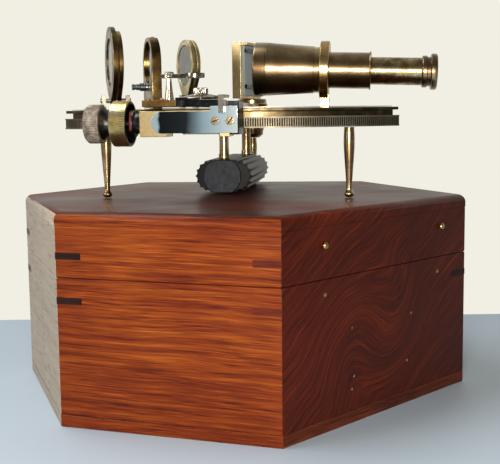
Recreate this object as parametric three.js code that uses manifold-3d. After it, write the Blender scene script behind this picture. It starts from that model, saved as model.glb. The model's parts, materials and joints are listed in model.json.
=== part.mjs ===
// A drum-micrometer sextant standing on the lid of its own hexagonal wooden case.
// Millimetres, +Z up. The origin is the centre of the case's underside, +X runs along the
// case's line of symmetry towards its wide end, and +Y runs across it.
import * as THREE from 'three';
import { mergeVertices } from 'three/addons/utils/BufferGeometryUtils.js';
import Module from 'manifold-3d';

const wasm = await Module();
wasm.setup();

// ---- Driving dimensions of the case ----
const CASE_HALF_LENGTH = 132.5;
const CASE_HALF_WIDTH = 150;
const WIDEST_X = -27.3;
const NARROW_END_HALF = 67.5;
const WIDE_END_HALF = 73;
const CASE_HEIGHT = 125;
const PARTING_Z = 87.5;
const WALL = 9;
const BASE_BOARD = 7;
const TOP_BOARD = 8;
const LID_EDGE_RADIUS = 5;
const GAP = 0.3;

// ---- Driving dimensions of the sextant, in its own frame ----
// Its origin is on the index arm's pivot, on the plane its feet stand on. +X is to the right
// of a reader facing the arc, +Y points from the arc to the pivot, +Z is up.
const PIVOT_ON_LID = [49.3, 103.4];
const FRAME_TURN = -27;
const ARM_ANGLE = -5.5;
const WORM_ANGLE = 2.5;
const RACK_RADIUS = 168.5;
const LIMB_INNER = 150;
const LIMB_HALF_ANGLE = 41.2;
const LIMB_BOTTOM = 44.5;
const RACK_TOP = 51.4;
const FLANGE_BOTTOM = 54.8;
const FRAME_TOP = 56.7;
const FRAME_BOTTOM = 47;
const LEG_REACH = 145;
const LEG_SPREAD = 79.3;
const ARM_BOTTOM = 58;
const ARM_TOP = 61.5;
const END_PLATE_TOP = 62.3;
const WORM_AXIS_RADIUS = 177.5;
const WORM_AXIS_Z = 48;
const DRUM_RADIUS = 14;
const SIGHT_LINE_Y = -70;
const SIGHT_LINE_Z = 83.3;
const COLLAR_X = 60.6;
const TELESCOPE_DROOP = 1.9;
const HORIZON_MIRROR_ANGLE = 23.3;
const HORIZON_SHADE_ANGLE = 22.5;
const INDEX_SHADE_ANGLE = 30;
const INDEX_MIRROR_ANGLE = 165.8;
const SHADE_PIN_Z = 64;
const SHADE_TAIL = 3;
const HORIZON_SHADES = [-90.4, -73];
const INDEX_SHADES = [-41.5, -47];

const deg = THREE.MathUtils.degToRad;

// ---- Materials ----
function finish(color, roughness, metalness) {
  return new THREE.MeshStandardMaterial({ color, roughness, metalness });
}
const mahogany = finish('#8a3f1c', 0.35, 0);
const darkMahogany = finish('#4f2014', 0.35, 0);
const agedBrass = finish('#7d6337', 0.35, 1);
const brightBrass = finish('#c9a866', 0.25, 1);
const blackenedBrass = finish('#2b2a2b', 0.5, 0.6);
const polishedSteel = finish('#c3ccd2', 0.15, 1);
const silver = finish('#d8d6cf', 0.3, 1);
const ebonite = finish('#1c1d20', 0.5, 0);
const mirrorGlass = finish('#b9c0c2', 0.05, 1);
const clearGlass = finish('#c7d3d4', 0.05, 0);
const shadeGlass = finish('#7c8482', 0.1, 0);

// ---- Solids ----
function toSolid(geometry) {
  const bare = geometry.clone();
  bare.deleteAttribute('normal');
  bare.deleteAttribute('uv');
  const merged = mergeVertices(bare, 1e-4);
  const mesh = { numProp: 3, vertProperties: merged.attributes.position.array };
  mesh.triVerts = new Uint32Array(merged.index.array);
  return new wasm.Manifold(new wasm.Mesh(mesh));
}

function toGeometry(solid) {
  const mesh = solid.getMesh();
  const geometry = new THREE.BufferGeometry();
  geometry.setAttribute('position', new THREE.BufferAttribute(mesh.vertProperties, 3));
  geometry.setIndex(new THREE.BufferAttribute(mesh.triVerts, 1));
  return geometry;
}

function join(...geometries) {
  return toGeometry(geometries.map(toSolid).reduce((sum, next) => sum.add(next)));
}

function cut(geometry, ...tools) {
  return toGeometry(tools.map(toSolid).reduce((rest, tool) => rest.subtract(tool), toSolid(geometry)));
}

function box(x0, x1, y0, y1, z0, z1) {
  const geometry = new THREE.BoxGeometry(x1 - x0, y1 - y0, z1 - z0);
  return geometry.translate((x0 + x1) / 2, (y0 + y1) / 2, (z0 + z1) / 2);
}

// A prism of a flat shape between two heights.
function prism(shape, z0, z1, curveSegments = 24) {
  const geometry = new THREE.ExtrudeGeometry(shape, { depth: z1 - z0, bevelEnabled: false, curveSegments });
  return geometry.translate(0, 0, z0);
}

function outlineShape(points) {
  return new THREE.Shape(points.map(([x, y]) => new THREE.Vector2(x, y)));
}

// A quarter turn about X, which stands a flat shape or a turned piece upright.
function upright(geometry) {
  return geometry.rotateX(Math.PI / 2);
}

// A turned piece on the Z axis. Each profile point is [radius, height].
function turned(profile, segments = 24) {
  return upright(new THREE.LatheGeometry(profile.map(([r, z]) => new THREE.Vector2(r, z)), segments));
}

// A turned piece along +X. Each profile point is [x, radius].
function turnedAlongX(profile, segments = 28) {
  return turned(profile.map(([x, r]) => [r, x]), segments).rotateY(Math.PI / 2);
}

function rod(radius, x0, x1, segments = 16) {
  return new THREE.CylinderGeometry(radius, radius, x1 - x0, segments).rotateZ(-Math.PI / 2)
    .translate((x0 + x1) / 2, 0, 0);
}

function post(radius, z0, z1, segments = 20) {
  const cylinder = new THREE.CylinderGeometry(radius, radius, z1 - z0, segments);
  return upright(cylinder).translate(0, 0, (z0 + z1) / 2);
}

// A flat ring sector centred on the pivot, measured from the line that points down the arc.
function sector(inner, outer, halfAngle, z0, z1, steps = 32) {
  const point = (radius, angle) => [radius * Math.sin(deg(angle)), -radius * Math.cos(deg(angle))];
  const angles = Array.from({ length: steps + 1 }, (_, i) => halfAngle * (1 - 2 * i / steps));
  const near = angles.map((angle) => point(outer, -angle));
  const far = angles.map((angle) => point(inner, angle));
  return prism(outlineShape([...near, ...far]), z0, z1);
}

function piece(parent, name, geometry, material) {
  const mesh = new THREE.Mesh(geometry, material);
  mesh.name = name;
  parent.add(mesh);
  return mesh;
}

function group(parent, position, turnZ = 0) {
  const child = new THREE.Group();
  child.position.set(...position);
  child.rotation.z = deg(turnZ);
  parent.add(child);
  return child;
}

const object = new THREE.Group();

// ---- Case ----
const caseCorners = [
  [-CASE_HALF_LENGTH, -NARROW_END_HALF],
  [WIDEST_X, -CASE_HALF_WIDTH],
  [CASE_HALF_LENGTH, -WIDE_END_HALF],
  [CASE_HALF_LENGTH, WIDE_END_HALF],
  [WIDEST_X, CASE_HALF_WIDTH],
  [-CASE_HALF_LENGTH, NARROW_END_HALF],
];

// The outline moved inwards by the same distance on every side.
function inset(corners, distance) {
  return corners.map((corner, i) => {
    const before = corners[(i + corners.length - 1) % corners.length];
    const after = corners[(i + 1) % corners.length];
    const a = new THREE.Vector2(corner[0] - before[0], corner[1] - before[1]).normalize();
    const b = new THREE.Vector2(after[0] - corner[0], after[1] - corner[1]).normalize();
    const reach = distance / (1 + a.dot(b));
    return [corner[0] + reach * (-a.y - b.y), corner[1] + reach * (a.x + b.x)];
  });
}

function hexagonWalls(z0, z1) {
  const shape = outlineShape(caseCorners);
  shape.holes.push(new THREE.Path(inset(caseCorners, WALL).map(([x, y]) => new THREE.Vector2(x, y))));
  return prism(shape, z0, z1);
}

function roundedTopBoard() {
  const shape = outlineShape(inset(caseCorners, LID_EDGE_RADIUS));
  const bevel = { bevelEnabled: true, bevelSize: LID_EDGE_RADIUS, bevelThickness: LID_EDGE_RADIUS };
  const board = new THREE.ExtrudeGeometry(shape, { depth: TOP_BOARD, bevelSegments: 4, ...bevel });
  board.translate(0, 0, CASE_HEIGHT - LID_EDGE_RADIUS - TOP_BOARD);
  const below = box(-200, 200, -200, 200, 0, CASE_HEIGHT - TOP_BOARD + GAP);
  return cut(board, below);
}

piece(object, 'case_base_board', prism(outlineShape(caseCorners), 0, BASE_BOARD), mahogany);
piece(object, 'case_walls', hexagonWalls(BASE_BOARD + GAP, PARTING_Z - GAP), mahogany);
piece(object, 'lid_walls', hexagonWalls(PARTING_Z, CASE_HEIGHT - TOP_BOARD), mahogany);
piece(object, 'lid_top_board', roundedTopBoard(), darkMahogany);

// The notched block that holds the sextant's grip when it is stowed.
const GRIP_BLOCK = box(-15, 15, -30, 30, BASE_BOARD + GAP, 40);
piece(object, 'stowage_grip_block', cut(GRIP_BLOCK, box(-20, 20, -13, 13, 20, 50)), darkMahogany);

// Two butt hinges on the far side that runs from the narrow end to the widest corner.
const HINGE_SIDE_TURN = 38.1;
const HINGE_SIDE_MIDDLE = [-79.9, 108.75];
const HINGE_SPACING = 37;
const HINGE_LEAF_HALF = 17;
const HINGE_LEAF_HEIGHT = 15;
const HINGE_AXIS_OUT = 5.6;
const KNUCKLE_RADIUS = 3.2;
const HINGE_PIN_RADIUS = 1.4;
const KNUCKLE_JOINT = 6;

function hingePlate(low, high) {
  return box(-HINGE_LEAF_HALF, HINGE_LEAF_HALF, GAP, 2, low, high);
}

function knuckle(x0, x1, low, high) {
  return join(rod(KNUCKLE_RADIUS, x0, x1).translate(0, HINGE_AXIS_OUT, 0), box(x0, x1, 1, 5, low, high));
}

for (const [side, place] of [['left', -HINGE_SPACING], ['right', HINGE_SPACING]]) {
  const seat = group(object, [...HINGE_SIDE_MIDDLE, PARTING_Z - GAP / 2], HINGE_SIDE_TURN);
  const hinge = group(seat, [place, 0, 0]);
  const caseLeaf = join(
    hingePlate(-HINGE_LEAF_HEIGHT, -GAP),
    knuckle(-HINGE_LEAF_HALF, -KNUCKLE_JOINT, -3, -GAP),
    knuckle(KNUCKLE_JOINT, HINGE_LEAF_HALF, -3, -GAP),
    rod(HINGE_PIN_RADIUS, -HINGE_LEAF_HALF, HINGE_LEAF_HALF, 12).translate(0, HINGE_AXIS_OUT, 0),
  );
  const pinHole = rod(HINGE_PIN_RADIUS + GAP, -HINGE_LEAF_HALF, HINGE_LEAF_HALF, 12);
  const lidLeaf = cut(
    join(hingePlate(GAP, HINGE_LEAF_HEIGHT), knuckle(-KNUCKLE_JOINT + GAP, KNUCKLE_JOINT - GAP, GAP, 3)),
    pinHole.translate(0, HINGE_AXIS_OUT, 0),
  );
  piece(hinge, `${side}_hinge_case_leaf`, caseLeaf, agedBrass);
  piece(hinge, `${side}_hinge_lid_leaf`, lidLeaf, agedBrass);
}

// The two studs that the lid's hooks turned on, on the near side of the wide end.
const FASTENING_SIDE_TURN = 25.73;
const FASTENING_SIDE_MIDDLE = [52.6, -111.5];
const LID_STUD_PLACES = { left: [-54.8, 106.4], right: [59.1, 106.7] };
const fasteningSide = group(object, [...FASTENING_SIDE_MIDDLE, 0], FASTENING_SIDE_TURN);
for (const [side, [x, z]] of Object.entries(LID_STUD_PLACES)) {
  const seat = group(fasteningSide, [x, -GAP, z]);
  const studProfile = [[0, 0], [1.2, 0], [1.2, 0.8], [2.1, 0.8], [1.9, 1.8], [1, 2.4], [0, 2.4]];
  const stud = upright(turned(studProfile, 16));
  piece(seat, `${side}_hook_stud`, stud, brightBrass);
}

// ---- Sextant frame ----
const sextant = group(object, [...PIVOT_ON_LID, CASE_HEIGHT + GAP], FRAME_TURN);

const SIDE_BAR_HALF = 4.5;
const HUB_RADIUS = 13;
const HUB_TOP = 57.4;
const PIVOT_BORE = 4.6;
const BRACE_RADIUS = 100;
const INNER_BRACE_RADIUS = 31;
const STRUT_ANGLES = [-19, 0, 19];
const STEM_HALF_X = 3;
const STEM_HALF_Y = 5;
const SHADE_LUG_HALF = 2.5;
const SHADE_LUG_LENGTH = 11;

// A straight bar of the frame between two points in plan.
function bar(from, to, half, z0 = FRAME_BOTTOM, z1 = FRAME_TOP) {
  const length = Math.hypot(to[0] - from[0], to[1] - from[1]);
  const turn = Math.atan2(to[1] - from[1], to[0] - from[0]);
  return box(0, length, -half, half, z0, z1).rotateZ(turn).translate(from[0], from[1], 0);
}

function onArc(radius, angle) {
  return [radius * Math.sin(deg(angle)), -radius * Math.cos(deg(angle))];
}

// The ends of the lug that carries the horizon shades, along the shades' pin.
function lugEnd(way) {
  const angle = deg(HORIZON_SHADE_ANGLE);
  const reach = way * SHADE_LUG_LENGTH;
  return [HORIZON_SHADES[0] + reach * Math.cos(angle), HORIZON_SHADES[1] + reach * Math.sin(angle)];
}

function frameCasting() {
  const limb = join(
    sector(LIMB_INNER, RACK_RADIUS - 0.8, LIMB_HALF_ANGLE, FLANGE_BOTTOM, FRAME_TOP),
    sector(LIMB_INNER, RACK_RADIUS - 6, LIMB_HALF_ANGLE, LIMB_BOTTOM, FLANGE_BOTTOM + 0.5),
  );
  const struts = STRUT_ANGLES.map((angle) => (
    bar(onArc(BRACE_RADIUS, angle), onArc(LIMB_INNER + 2, angle), 3)
  ));
  const casting = join(
    limb,
    post(HUB_RADIUS, FRAME_BOTTOM - 3, HUB_TOP, 28),
    bar([0, 0], onArc(153, 38.5), SIDE_BAR_HALF),
    bar([0, 0], onArc(153, -38.5), SIDE_BAR_HALF),
    sector(BRACE_RADIUS - 4, BRACE_RADIUS + 4, 38.5, FRAME_BOTTOM, FRAME_TOP, 20),
    sector(INNER_BRACE_RADIUS - 5, INNER_BRACE_RADIUS + 5, 38, FRAME_BOTTOM, FRAME_TOP, 8),
    bar(onArc(INNER_BRACE_RADIUS, 0), onArc(BRACE_RADIUS, 0), 3),
    bar([COLLAR_X - 9, SIGHT_LINE_Y], [COLLAR_X + 8, SIGHT_LINE_Y], 9),
    bar([-70, SIGHT_LINE_Y], [-52, SIGHT_LINE_Y], 6),
    bar([-80, SIGHT_LINE_Y + 1], [-60, SIGHT_LINE_Y], 3),
    bar(lugEnd(-1), lugEnd(1), SHADE_LUG_HALF),
    ...struts,
  );
  const stemSlot = box(
    COLLAR_X - STEM_HALF_X - GAP, COLLAR_X + STEM_HALF_X + GAP,
    SIGHT_LINE_Y - STEM_HALF_Y - GAP, SIGHT_LINE_Y + STEM_HALF_Y + GAP, 0, 100,
  );
  return cut(casting, post(PIVOT_BORE, 0, 100), stemSlot);
}
piece(sextant, 'frame_casting', frameCasting(), agedBrass);

const rackRing = sector(RACK_RADIUS - 5.7, RACK_RADIUS, LIMB_HALF_ANGLE, LIMB_BOTTOM, RACK_TOP, 40);
piece(sextant, 'limb_rack', rackRing, agedBrass);
const SCALE = { inner: RACK_RADIUS - 13, outer: RACK_RADIUS - 4, top: FRAME_TOP + 0.7 };
const scaleStrip = sector(SCALE.inner, SCALE.outer, LIMB_HALF_ANGLE - 1, FRAME_TOP + GAP, SCALE.top);
piece(sextant, 'limb_scale', scaleStrip, silver);

// ---- Legs ----
function legProfile(height) {
  return [
    [0, 0], [2.2, 0.4], [3.1, 2.2], [2.2, 4.2], [1.8, 5.2], [1.9, 9], [3.1, height * 0.6],
    [3.5, height * 0.78], [3.4, height * 0.88], [3.2, height - 2], [3.2, height], [0, height],
  ];
}
const BEARING_BOTTOM = 35;
const legPlaces = {
  left_leg: [1.2 - LEG_SPREAD, -LEG_REACH, LIMB_BOTTOM],
  right_leg: [LEG_SPREAD, -LEG_REACH, LIMB_BOTTOM],
  rear_leg: [0, 0, BEARING_BOTTOM],
};
for (const [name, [x, y, top]] of Object.entries(legPlaces)) {
  const seat = group(sextant, [x, y, 0]);
  piece(seat, name, turned(legProfile(top - GAP), 14), agedBrass);
}

// ---- Pivot bearing under the hub ----
const bearingProfile = [
  [0, BEARING_BOTTOM], [6, BEARING_BOTTOM], [8, 37], [9, 43.7], [5.2, 43.7], [5.2, 39], [0, 39],
];
piece(sextant, 'pivot_bearing', turned(bearingProfile, 20), agedBrass);

// ---- Handle ----
const GRIP_X = -5.3;
const GRIP_HALF_WIDTH = 19.5;
const GRIP_HALF_HEIGHT = 10.8;
const GRIP_MIDDLE_Z = 12;
const GRIP_NEAR_Y = -124;
const GRIP_FAR_Y = -13;
const CAP_THICKNESS = 3.5;
const FRONT_PILLAR = [-7.4, -100];
const REAR_PILLAR = [-1, -31];

// Flat above and below, rounded at both sides, where ribs run the whole length of the grip.
function gripOutline() {
  const ribs = 7;
  const straight = GRIP_HALF_WIDTH - GRIP_HALF_HEIGHT;
  const points = [];
  for (const side of [1, -1]) {
    for (let i = 0; i <= ribs * 2; i += 1) {
      const angle = side * (-Math.PI / 2 + Math.PI * i / (ribs * 2));
      const radius = GRIP_HALF_HEIGHT - (i % 2 === 1 ? 1.3 : 0);
      points.push([side * (straight + radius * Math.cos(angle)), radius * Math.sin(angle)]);
    }
  }
  return outlineShape(points);
}

function capOutline(radius, flat) {
  const shape = new THREE.Shape();
  const lean = Math.asin(flat / radius);
  shape.absarc(0, 0, radius, -lean, lean, false);
  shape.absarc(0, 0, radius, Math.PI - lean, Math.PI + lean, false);
  return shape;
}

const grip = group(sextant, [GRIP_X, 0, GRIP_MIDDLE_Z]);
const gripBody = prism(gripOutline(), 0, GRIP_FAR_Y - GRIP_NEAR_Y - CAP_THICKNESS);
piece(grip, 'handle_grip', upright(gripBody).translate(0, GRIP_FAR_Y, 0), ebonite);
const cap = prism(capOutline(12.5, GRIP_HALF_HEIGHT), 0, CAP_THICKNESS - GAP, 8);
const frontCap = upright(cap).translate(0, GRIP_NEAR_Y + CAP_THICKNESS - GAP, 0);
piece(grip, 'handle_front_cap', frontCap, ebonite);

const GRIP_TOP = GRIP_MIDDLE_Z + GRIP_HALF_HEIGHT;
const frontPillar = group(sextant, [...FRONT_PILLAR, 0]);
const pillarProfile = [
  [0, GRIP_TOP + GAP], [3.8, GRIP_TOP + GAP], [3.8, 26], [3.3, 27], [3.3, 44], [3.8, 45],
  [3.8, FRAME_BOTTOM - GAP], [0, FRAME_BOTTOM - GAP],
];
piece(frontPillar, 'handle_front_pillar', turned(pillarProfile, 16), agedBrass);
const rearPillar = group(sextant, [...REAR_PILLAR, 0]);
piece(rearPillar, 'handle_rear_pillar', turned(pillarProfile, 16), agedBrass);
const handleScrew = turned([[0, 0.2], [1.8, 0.4], [2.2, 0.9], [0, 0.9]], 14);
piece(frontPillar, 'handle_screw', handleScrew, brightBrass);

// ---- Index arm ----
const arm = group(sextant, [0, 0, 0], ARM_ANGLE);
const END_PLATE = { left: -31, right: 16, near: -174, far: -146 };
const WINDOW = { left: -10, right: 9, near: -167, far: -153 };

function armBar() {
  const blade = outlineShape([[-6.5, -150], [6.5, -150], [8, 0], [-8, 0]]);
  const { left, right, near, far } = END_PLATE;
  const plate = box(left, right, near, far, ARM_BOTTOM, END_PLATE_TOP);
  const bladeSolid = prism(blade, ARM_BOTTOM, ARM_TOP);
  const window = box(WINDOW.left, WINDOW.right, WINDOW.near, WINDOW.far, 0, 100);
  const slot = prism(outlineShape([[-2.5, -135], [2.5, -135], [3.5, -30], [-3.5, -30]]), 0, 100);
  return cut(join(bladeSolid, post(12, ARM_BOTTOM, ARM_TOP, 28), plate), window, slot);
}
piece(arm, 'index_arm', armBar(), agedBrass);

const pinProfile = [[0, 39.3], [4.2, 39.3], [4.3, ARM_BOTTOM - GAP], [0, ARM_BOTTOM - GAP]];
piece(arm, 'pivot_pin', turned(pinProfile, 20), polishedSteel);
piece(arm, 'pivot_plate', post(11.3, ARM_TOP + GAP, 65, 28), agedBrass);

// ---- Index mirror, standing over the pivot ----
const indexMirror = group(arm, [0, 0, 0], INDEX_MIRROR_ANGLE - ARM_ANGLE);
const MIRROR_HALF_WIDTH = 21.5;
const MIRROR_LOW = 65 + GAP;
const MIRROR_HIGH = 108;
const MIRROR_FRONT = 7.8;
const MIRROR_BACK = MIRROR_FRONT - 12;
const indexMirrorFrame = cut(
  box(MIRROR_BACK, MIRROR_FRONT, -MIRROR_HALF_WIDTH, MIRROR_HALF_WIDTH, MIRROR_LOW, MIRROR_HIGH),
  box(-50, 50, -MIRROR_HALF_WIDTH + 2.5, MIRROR_HALF_WIDTH - 2.5, MIRROR_LOW + 3.5, MIRROR_HIGH - 2),
);
piece(indexMirror, 'index_mirror_frame', indexMirrorFrame, brightBrass);
const silvered = box(
  MIRROR_FRONT - 3.8, MIRROR_FRONT - 0.8, -18.7, 18.7, MIRROR_LOW + 3.8, MIRROR_HIGH - 2.3,
);
piece(indexMirror, 'index_mirror_glass', silvered, mirrorGlass);

// ---- Arm end: magnifier post, hinge block ----
const MAGNIFIER_POST = [-18.4, -157.5];
const magnifierPost = group(arm, [...MAGNIFIER_POST, 0]);
const postProfile = [
  [0, END_PLATE_TOP + GAP], [3, END_PLATE_TOP + GAP], [2.7, 65], [1.7, 75.6], [0, 75.6],
];
piece(magnifierPost, 'magnifier_post', turned(postProfile, 16), brightBrass);

const wormFrame = group(arm, [0, 0, 0], WORM_ANGLE);
const HINGE_BLOCK = { left: 20, right: 25 };
const hingeBlock = join(
  box(17.5, HINGE_BLOCK.right, -186.5, -171.5, ARM_BOTTOM + 0.2, ARM_BOTTOM + 3),
  box(HINGE_BLOCK.left, HINGE_BLOCK.right, -186.5, -171.5, 41, ARM_BOTTOM + 3),
);
piece(wormFrame, 'carriage_hinge_block', hingeBlock, blackenedBrass);

// ---- Reading magnifier ----
const LENS_REACH = 17;
const magnifier = group(arm, [...MAGNIFIER_POST, 0], 0);
const magnifierBody = cut(
  join(
    box(-5, LENS_REACH, -1.8, 1.8, 76, 78.6),
    post(6.2, 75.9, 78.9, 24).translate(LENS_REACH, 0, 0),
    post(3.2, 76, 80, 16),
  ),
  post(4.6, 0, 100, 24).translate(LENS_REACH, 0, 0),
);
piece(magnifier, 'magnifier_arm', magnifierBody, brightBrass);
const bead = turned([[0, 76.2], [4.2, 76.6], [4.3, 77.4], [4.2, 78.2], [0, 78.6]], 20);
piece(magnifier, 'magnifier_lens', bead.translate(LENS_REACH, 0, 0), clearGlass);

// ---- Release lever over the end plate ----
const RELEASE_PIVOT = [3, -160];
const release = group(arm, [...RELEASE_PIVOT, 0]);
const releaseDisc = turned([
  [0, 62.7], [12.5, 62.7], [13, 63.4], [8, 65.6], [4.6, 66.2], [4.6, 69], [3.9, 69.6], [0, 69.6],
], 28);
const leverReach = join(
  bar([0, 0], [20.5, -13], 1.6, 63, 64.8),
  box(18.4, 22.6, -30.8, -11, 63, 64.8),
  box(18.4, 22.6, -30.8, -28.4, 53.5, 64.8),
);
piece(release, 'release_lever', join(releaseDisc, leverReach), polishedSteel);

// ---- Worm carriage ----
const worm = group(wormFrame, [0, -WORM_AXIS_RADIUS, WORM_AXIS_Z]);
const SHAFT_RADIUS = 2.6;
const CARRIAGE = { left: -36, cheek: -19.5, right: 16, bore: 2.9 };
const carriageBlock = cut(
  join(
    box(CARRIAGE.left, CARRIAGE.cheek, -9.3, 6.5, -8.1, 7.4),
    box(13.6, 19.2, -9.3, 4, -8.1, 7.4),
    box(CARRIAGE.left, 19.2, -9.3, -7.4, -6, 7.4),
  ),
  rod(CARRIAGE.bore, -60, 60),
);
piece(worm, 'worm_carriage', carriageBlock, brightBrass);
const sleeveProfile = [
  [-43.6, 2.9], [-43.6, 8.2], [-41, 8.2], [-40.6, 6.3], [CARRIAGE.left - GAP, 6.3],
  [CARRIAGE.left - GAP, 2.9], [-43.6, 2.9],
];
piece(worm, 'index_sleeve', turnedAlongX(sleeveProfile), blackenedBrass);

// A leaf spring across the front, with a round left end and a taller right end.
function leafSpring() {
  const shape = new THREE.Shape();
  shape.moveTo(-22, -6);
  shape.lineTo(24.5, -6);
  shape.lineTo(24.5, 10);
  shape.lineTo(8, 10);
  shape.lineTo(8, 7);
  shape.lineTo(-22, 7);
  shape.absarc(-22, 0.5, 6.5, Math.PI / 2, Math.PI * 1.5, false);
  return upright(prism(shape, 0, 1.2, 8)).translate(0, -9.6, 0);
}
piece(worm, 'carriage_leaf_spring', leafSpring(), polishedSteel);

// ---- Worm, drum and thumb wheel ----
const wormProfile = [
  [-61.3, 0], [-61.3, SHAFT_RADIUS], [-19.2, SHAFT_RADIUS], [-12, 3.6], [-11, 7], [11, 7], [12, 3.6],
  [13.2, SHAFT_RADIUS], [18.9, SHAFT_RADIUS], [18.9, 0],
];
piece(worm, 'worm_shaft', turnedAlongX(wormProfile, 20), polishedSteel);
const drumProfile = [
  [-54.6, 2.9], [-54.6, DRUM_RADIUS], [-44.2, DRUM_RADIUS], [-44.2, DRUM_RADIUS - 1.4],
  [-49.4, DRUM_RADIUS - 2], [-49.4, 2.9], [-54.6, 2.9],
];
piece(worm, 'micrometer_drum', turnedAlongX(drumProfile, 36), brightBrass);
const wheelProfile = [
  [-72, 0], [-72, 10.6], [-70.4, 12], [-62.4, 12], [-61.7, 11.4], [-59, 7.6], [-54.9, 6.6], [-54.9, 2.9],
  [-61.4, 2.9], [-61.7, 2.2], [-61.7, 0],
];
piece(worm, 'thumb_wheel', turnedAlongX(wheelProfile, 36), blackenedBrass);

// ---- Horizon mirror ----
const HORIZON_MIRROR_Z = 90.6;
const horizonMirror = group(sextant, [-63.6, SIGHT_LINE_Y, HORIZON_MIRROR_Z], HORIZON_MIRROR_ANGLE);
const HORIZON_FOOT = FRAME_TOP + GAP - HORIZON_MIRROR_Z;
const horizonFrame = cut(
  join(rod(18, -3.5, 3.5, 36), box(-3.5, 3.5, -18, 18, HORIZON_FOOT, 0)),
  rod(15.2, -10, 10, 36),
);
piece(horizonMirror, 'horizon_mirror_frame', horizonFrame, agedBrass);
piece(horizonMirror, 'horizon_mirror_glass', rod(14.9, -1.2, 1.4, 36), mirrorGlass);
const adjuster = turnedAlongX([
  [-15, 0], [-15, 2.2], [-9.6, 2.2], [-9.2, 2.9], [-3.8, 2.9], [-3.8, 0],
], 16).translate(0, 0, -17.2);
piece(horizonMirror, 'horizon_adjusting_screw', adjuster, polishedSteel);

// ---- Shades: glasses in teardrop frames that turn down beside their pin ----
function shadeFrame(radius, glassRadius, rise, halfThickness) {
  const lean = Math.asin((radius - SHADE_TAIL) / rise);
  const shape = new THREE.Shape();
  shape.absarc(0, rise, radius, -lean, Math.PI + lean, false);
  shape.absarc(0, 0, SHADE_TAIL, Math.PI + lean, Math.PI * 2 - lean, false);
  const blank = prism(shape, -halfThickness, halfThickness, 16).rotateX(Math.PI / 2).rotateZ(Math.PI / 2);
  const opening = rod(glassRadius, -10, 10, 28).translate(0, 0, rise);
  return cut(blank, opening, rod(2.1, -10, 10, 12));
}

// Each shade set: a clevis on the frame with its pin along the light path, and shades side by side on it.
function shadeSet(place, turn, name, clevisHalf, shades) {
  const set = group(sextant, [...place, SHADE_PIN_Z], turn);
  const foot = FRAME_TOP + GAP - SHADE_PIN_Z;
  const clevis = join(
    box(-clevisHalf, clevisHalf, -2, 2, foot, foot + 0.7),
    box(-clevisHalf, -clevisHalf + 2.6, -3.6, 3.6, foot, 4),
    box(clevisHalf - 2.6, clevisHalf, -3.6, 3.6, foot, 4),
    rod(1.8, -clevisHalf - 1, clevisHalf + 1, 12),
  );
  piece(set, `${name}_shade_clevis`, clevis, agedBrass);
  shades.forEach(({ at, radius, glassRadius, rise, halfThickness }, i) => {
    const seat = group(set, [at, 0, 0]);
    const label = `${name}_shade_${i + 1}`;
    piece(seat, `${label}_frame`, shadeFrame(radius, glassRadius, rise, halfThickness), brightBrass);
    const glass = rod(glassRadius - GAP, -0.8, 0.8, 28).translate(0, 0, rise);
    piece(seat, `${label}_glass`, glass, shadeGlass);
  });
}

shadeSet(HORIZON_SHADES, HORIZON_SHADE_ANGLE, 'horizon', 10, [
  { at: -2.1, radius: 25, glassRadius: 17, rise: 27.4, halfThickness: 1.8 },
  { at: 2.1, radius: 22.8, glassRadius: 16.4, rise: 26.6, halfThickness: 1.5 },
]);
shadeSet(INDEX_SHADES, INDEX_SHADE_ANGLE, 'index', 6.5, [-1.9, 1.9].map((at, i) => (
  { at, radius: 18.6 - i * 0.2, glassRadius: 14.8, rise: 25.6, halfThickness: 1.3 }
)));

// ---- Telescope on its rising collar ----
const telescope = group(sextant, [COLLAR_X, SIGHT_LINE_Y, SIGHT_LINE_Z]);
const tilt = new THREE.Group();
tilt.rotation.y = deg(TELESCOPE_DROOP);
telescope.add(tilt);

const stem = box(
  -STEM_HALF_X, STEM_HALF_X, -STEM_HALF_Y, STEM_HALF_Y, FRAME_BOTTOM - SIGHT_LINE_Z, -16,
);
const collarRing = rod(20.2, -3.2, 3.2, 36).rotateY(deg(TELESCOPE_DROOP));
const collarBore = rod(13, -20, 20, 36).rotateY(deg(TELESCOPE_DROOP));
piece(telescope, 'telescope_collar', cut(join(stem, collarRing), collarBore), agedBrass);

const tubeProfile = [
  [-49.5, 16.9], [-49.5, 18], [-48.5, 18.6], [-41.2, 18.6], [-40.8, 18.2], [-40.4, 18.6], [-7.5, 16.4],
  [-7.2, 15.9], [-3.6, 15.9], [-3.6, 12.6], [31, 12.6], [31, 13.4], [32.2, 13.4], [32.2, 9.8],
  [29, 9.8], [28, 11.2], [-8, 11.2], [-12, 13.5], [-42, 16.9], [-49.5, 16.9],
];
piece(tilt, 'telescope_tube', turnedAlongX(tubeProfile, 36), agedBrass);
const objectiveProfile = [[-47.6, 0], [-46.6, 16.6], [-44, 16.6], [-43, 0]];
piece(tilt, 'objective_lens', turnedAlongX(objectiveProfile, 28), clearGlass);
const drawProfile = [
  [16, 8.2], [16, 9.5], [67, 9.5], [67, 8.2], [16, 8.2],
];
piece(tilt, 'draw_tube', turnedAlongX(drawProfile, 32), brightBrass);
const eyepieceProfile = [
  [67.3, 5], [67.3, 10.8], [68, 11], [70.4, 11], [71, 10.2], [73, 10.2], [73.6, 12.5], [76.8, 12.5],
  [77.6, 11.8], [77.6, 8], [74, 5], [67.3, 5],
];
piece(tilt, 'eyepiece', turnedAlongX(eyepieceProfile, 32), agedBrass);

export default object;
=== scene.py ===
import json
import math

import bmesh
import bpy
from mathutils import Matrix, Vector


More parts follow.
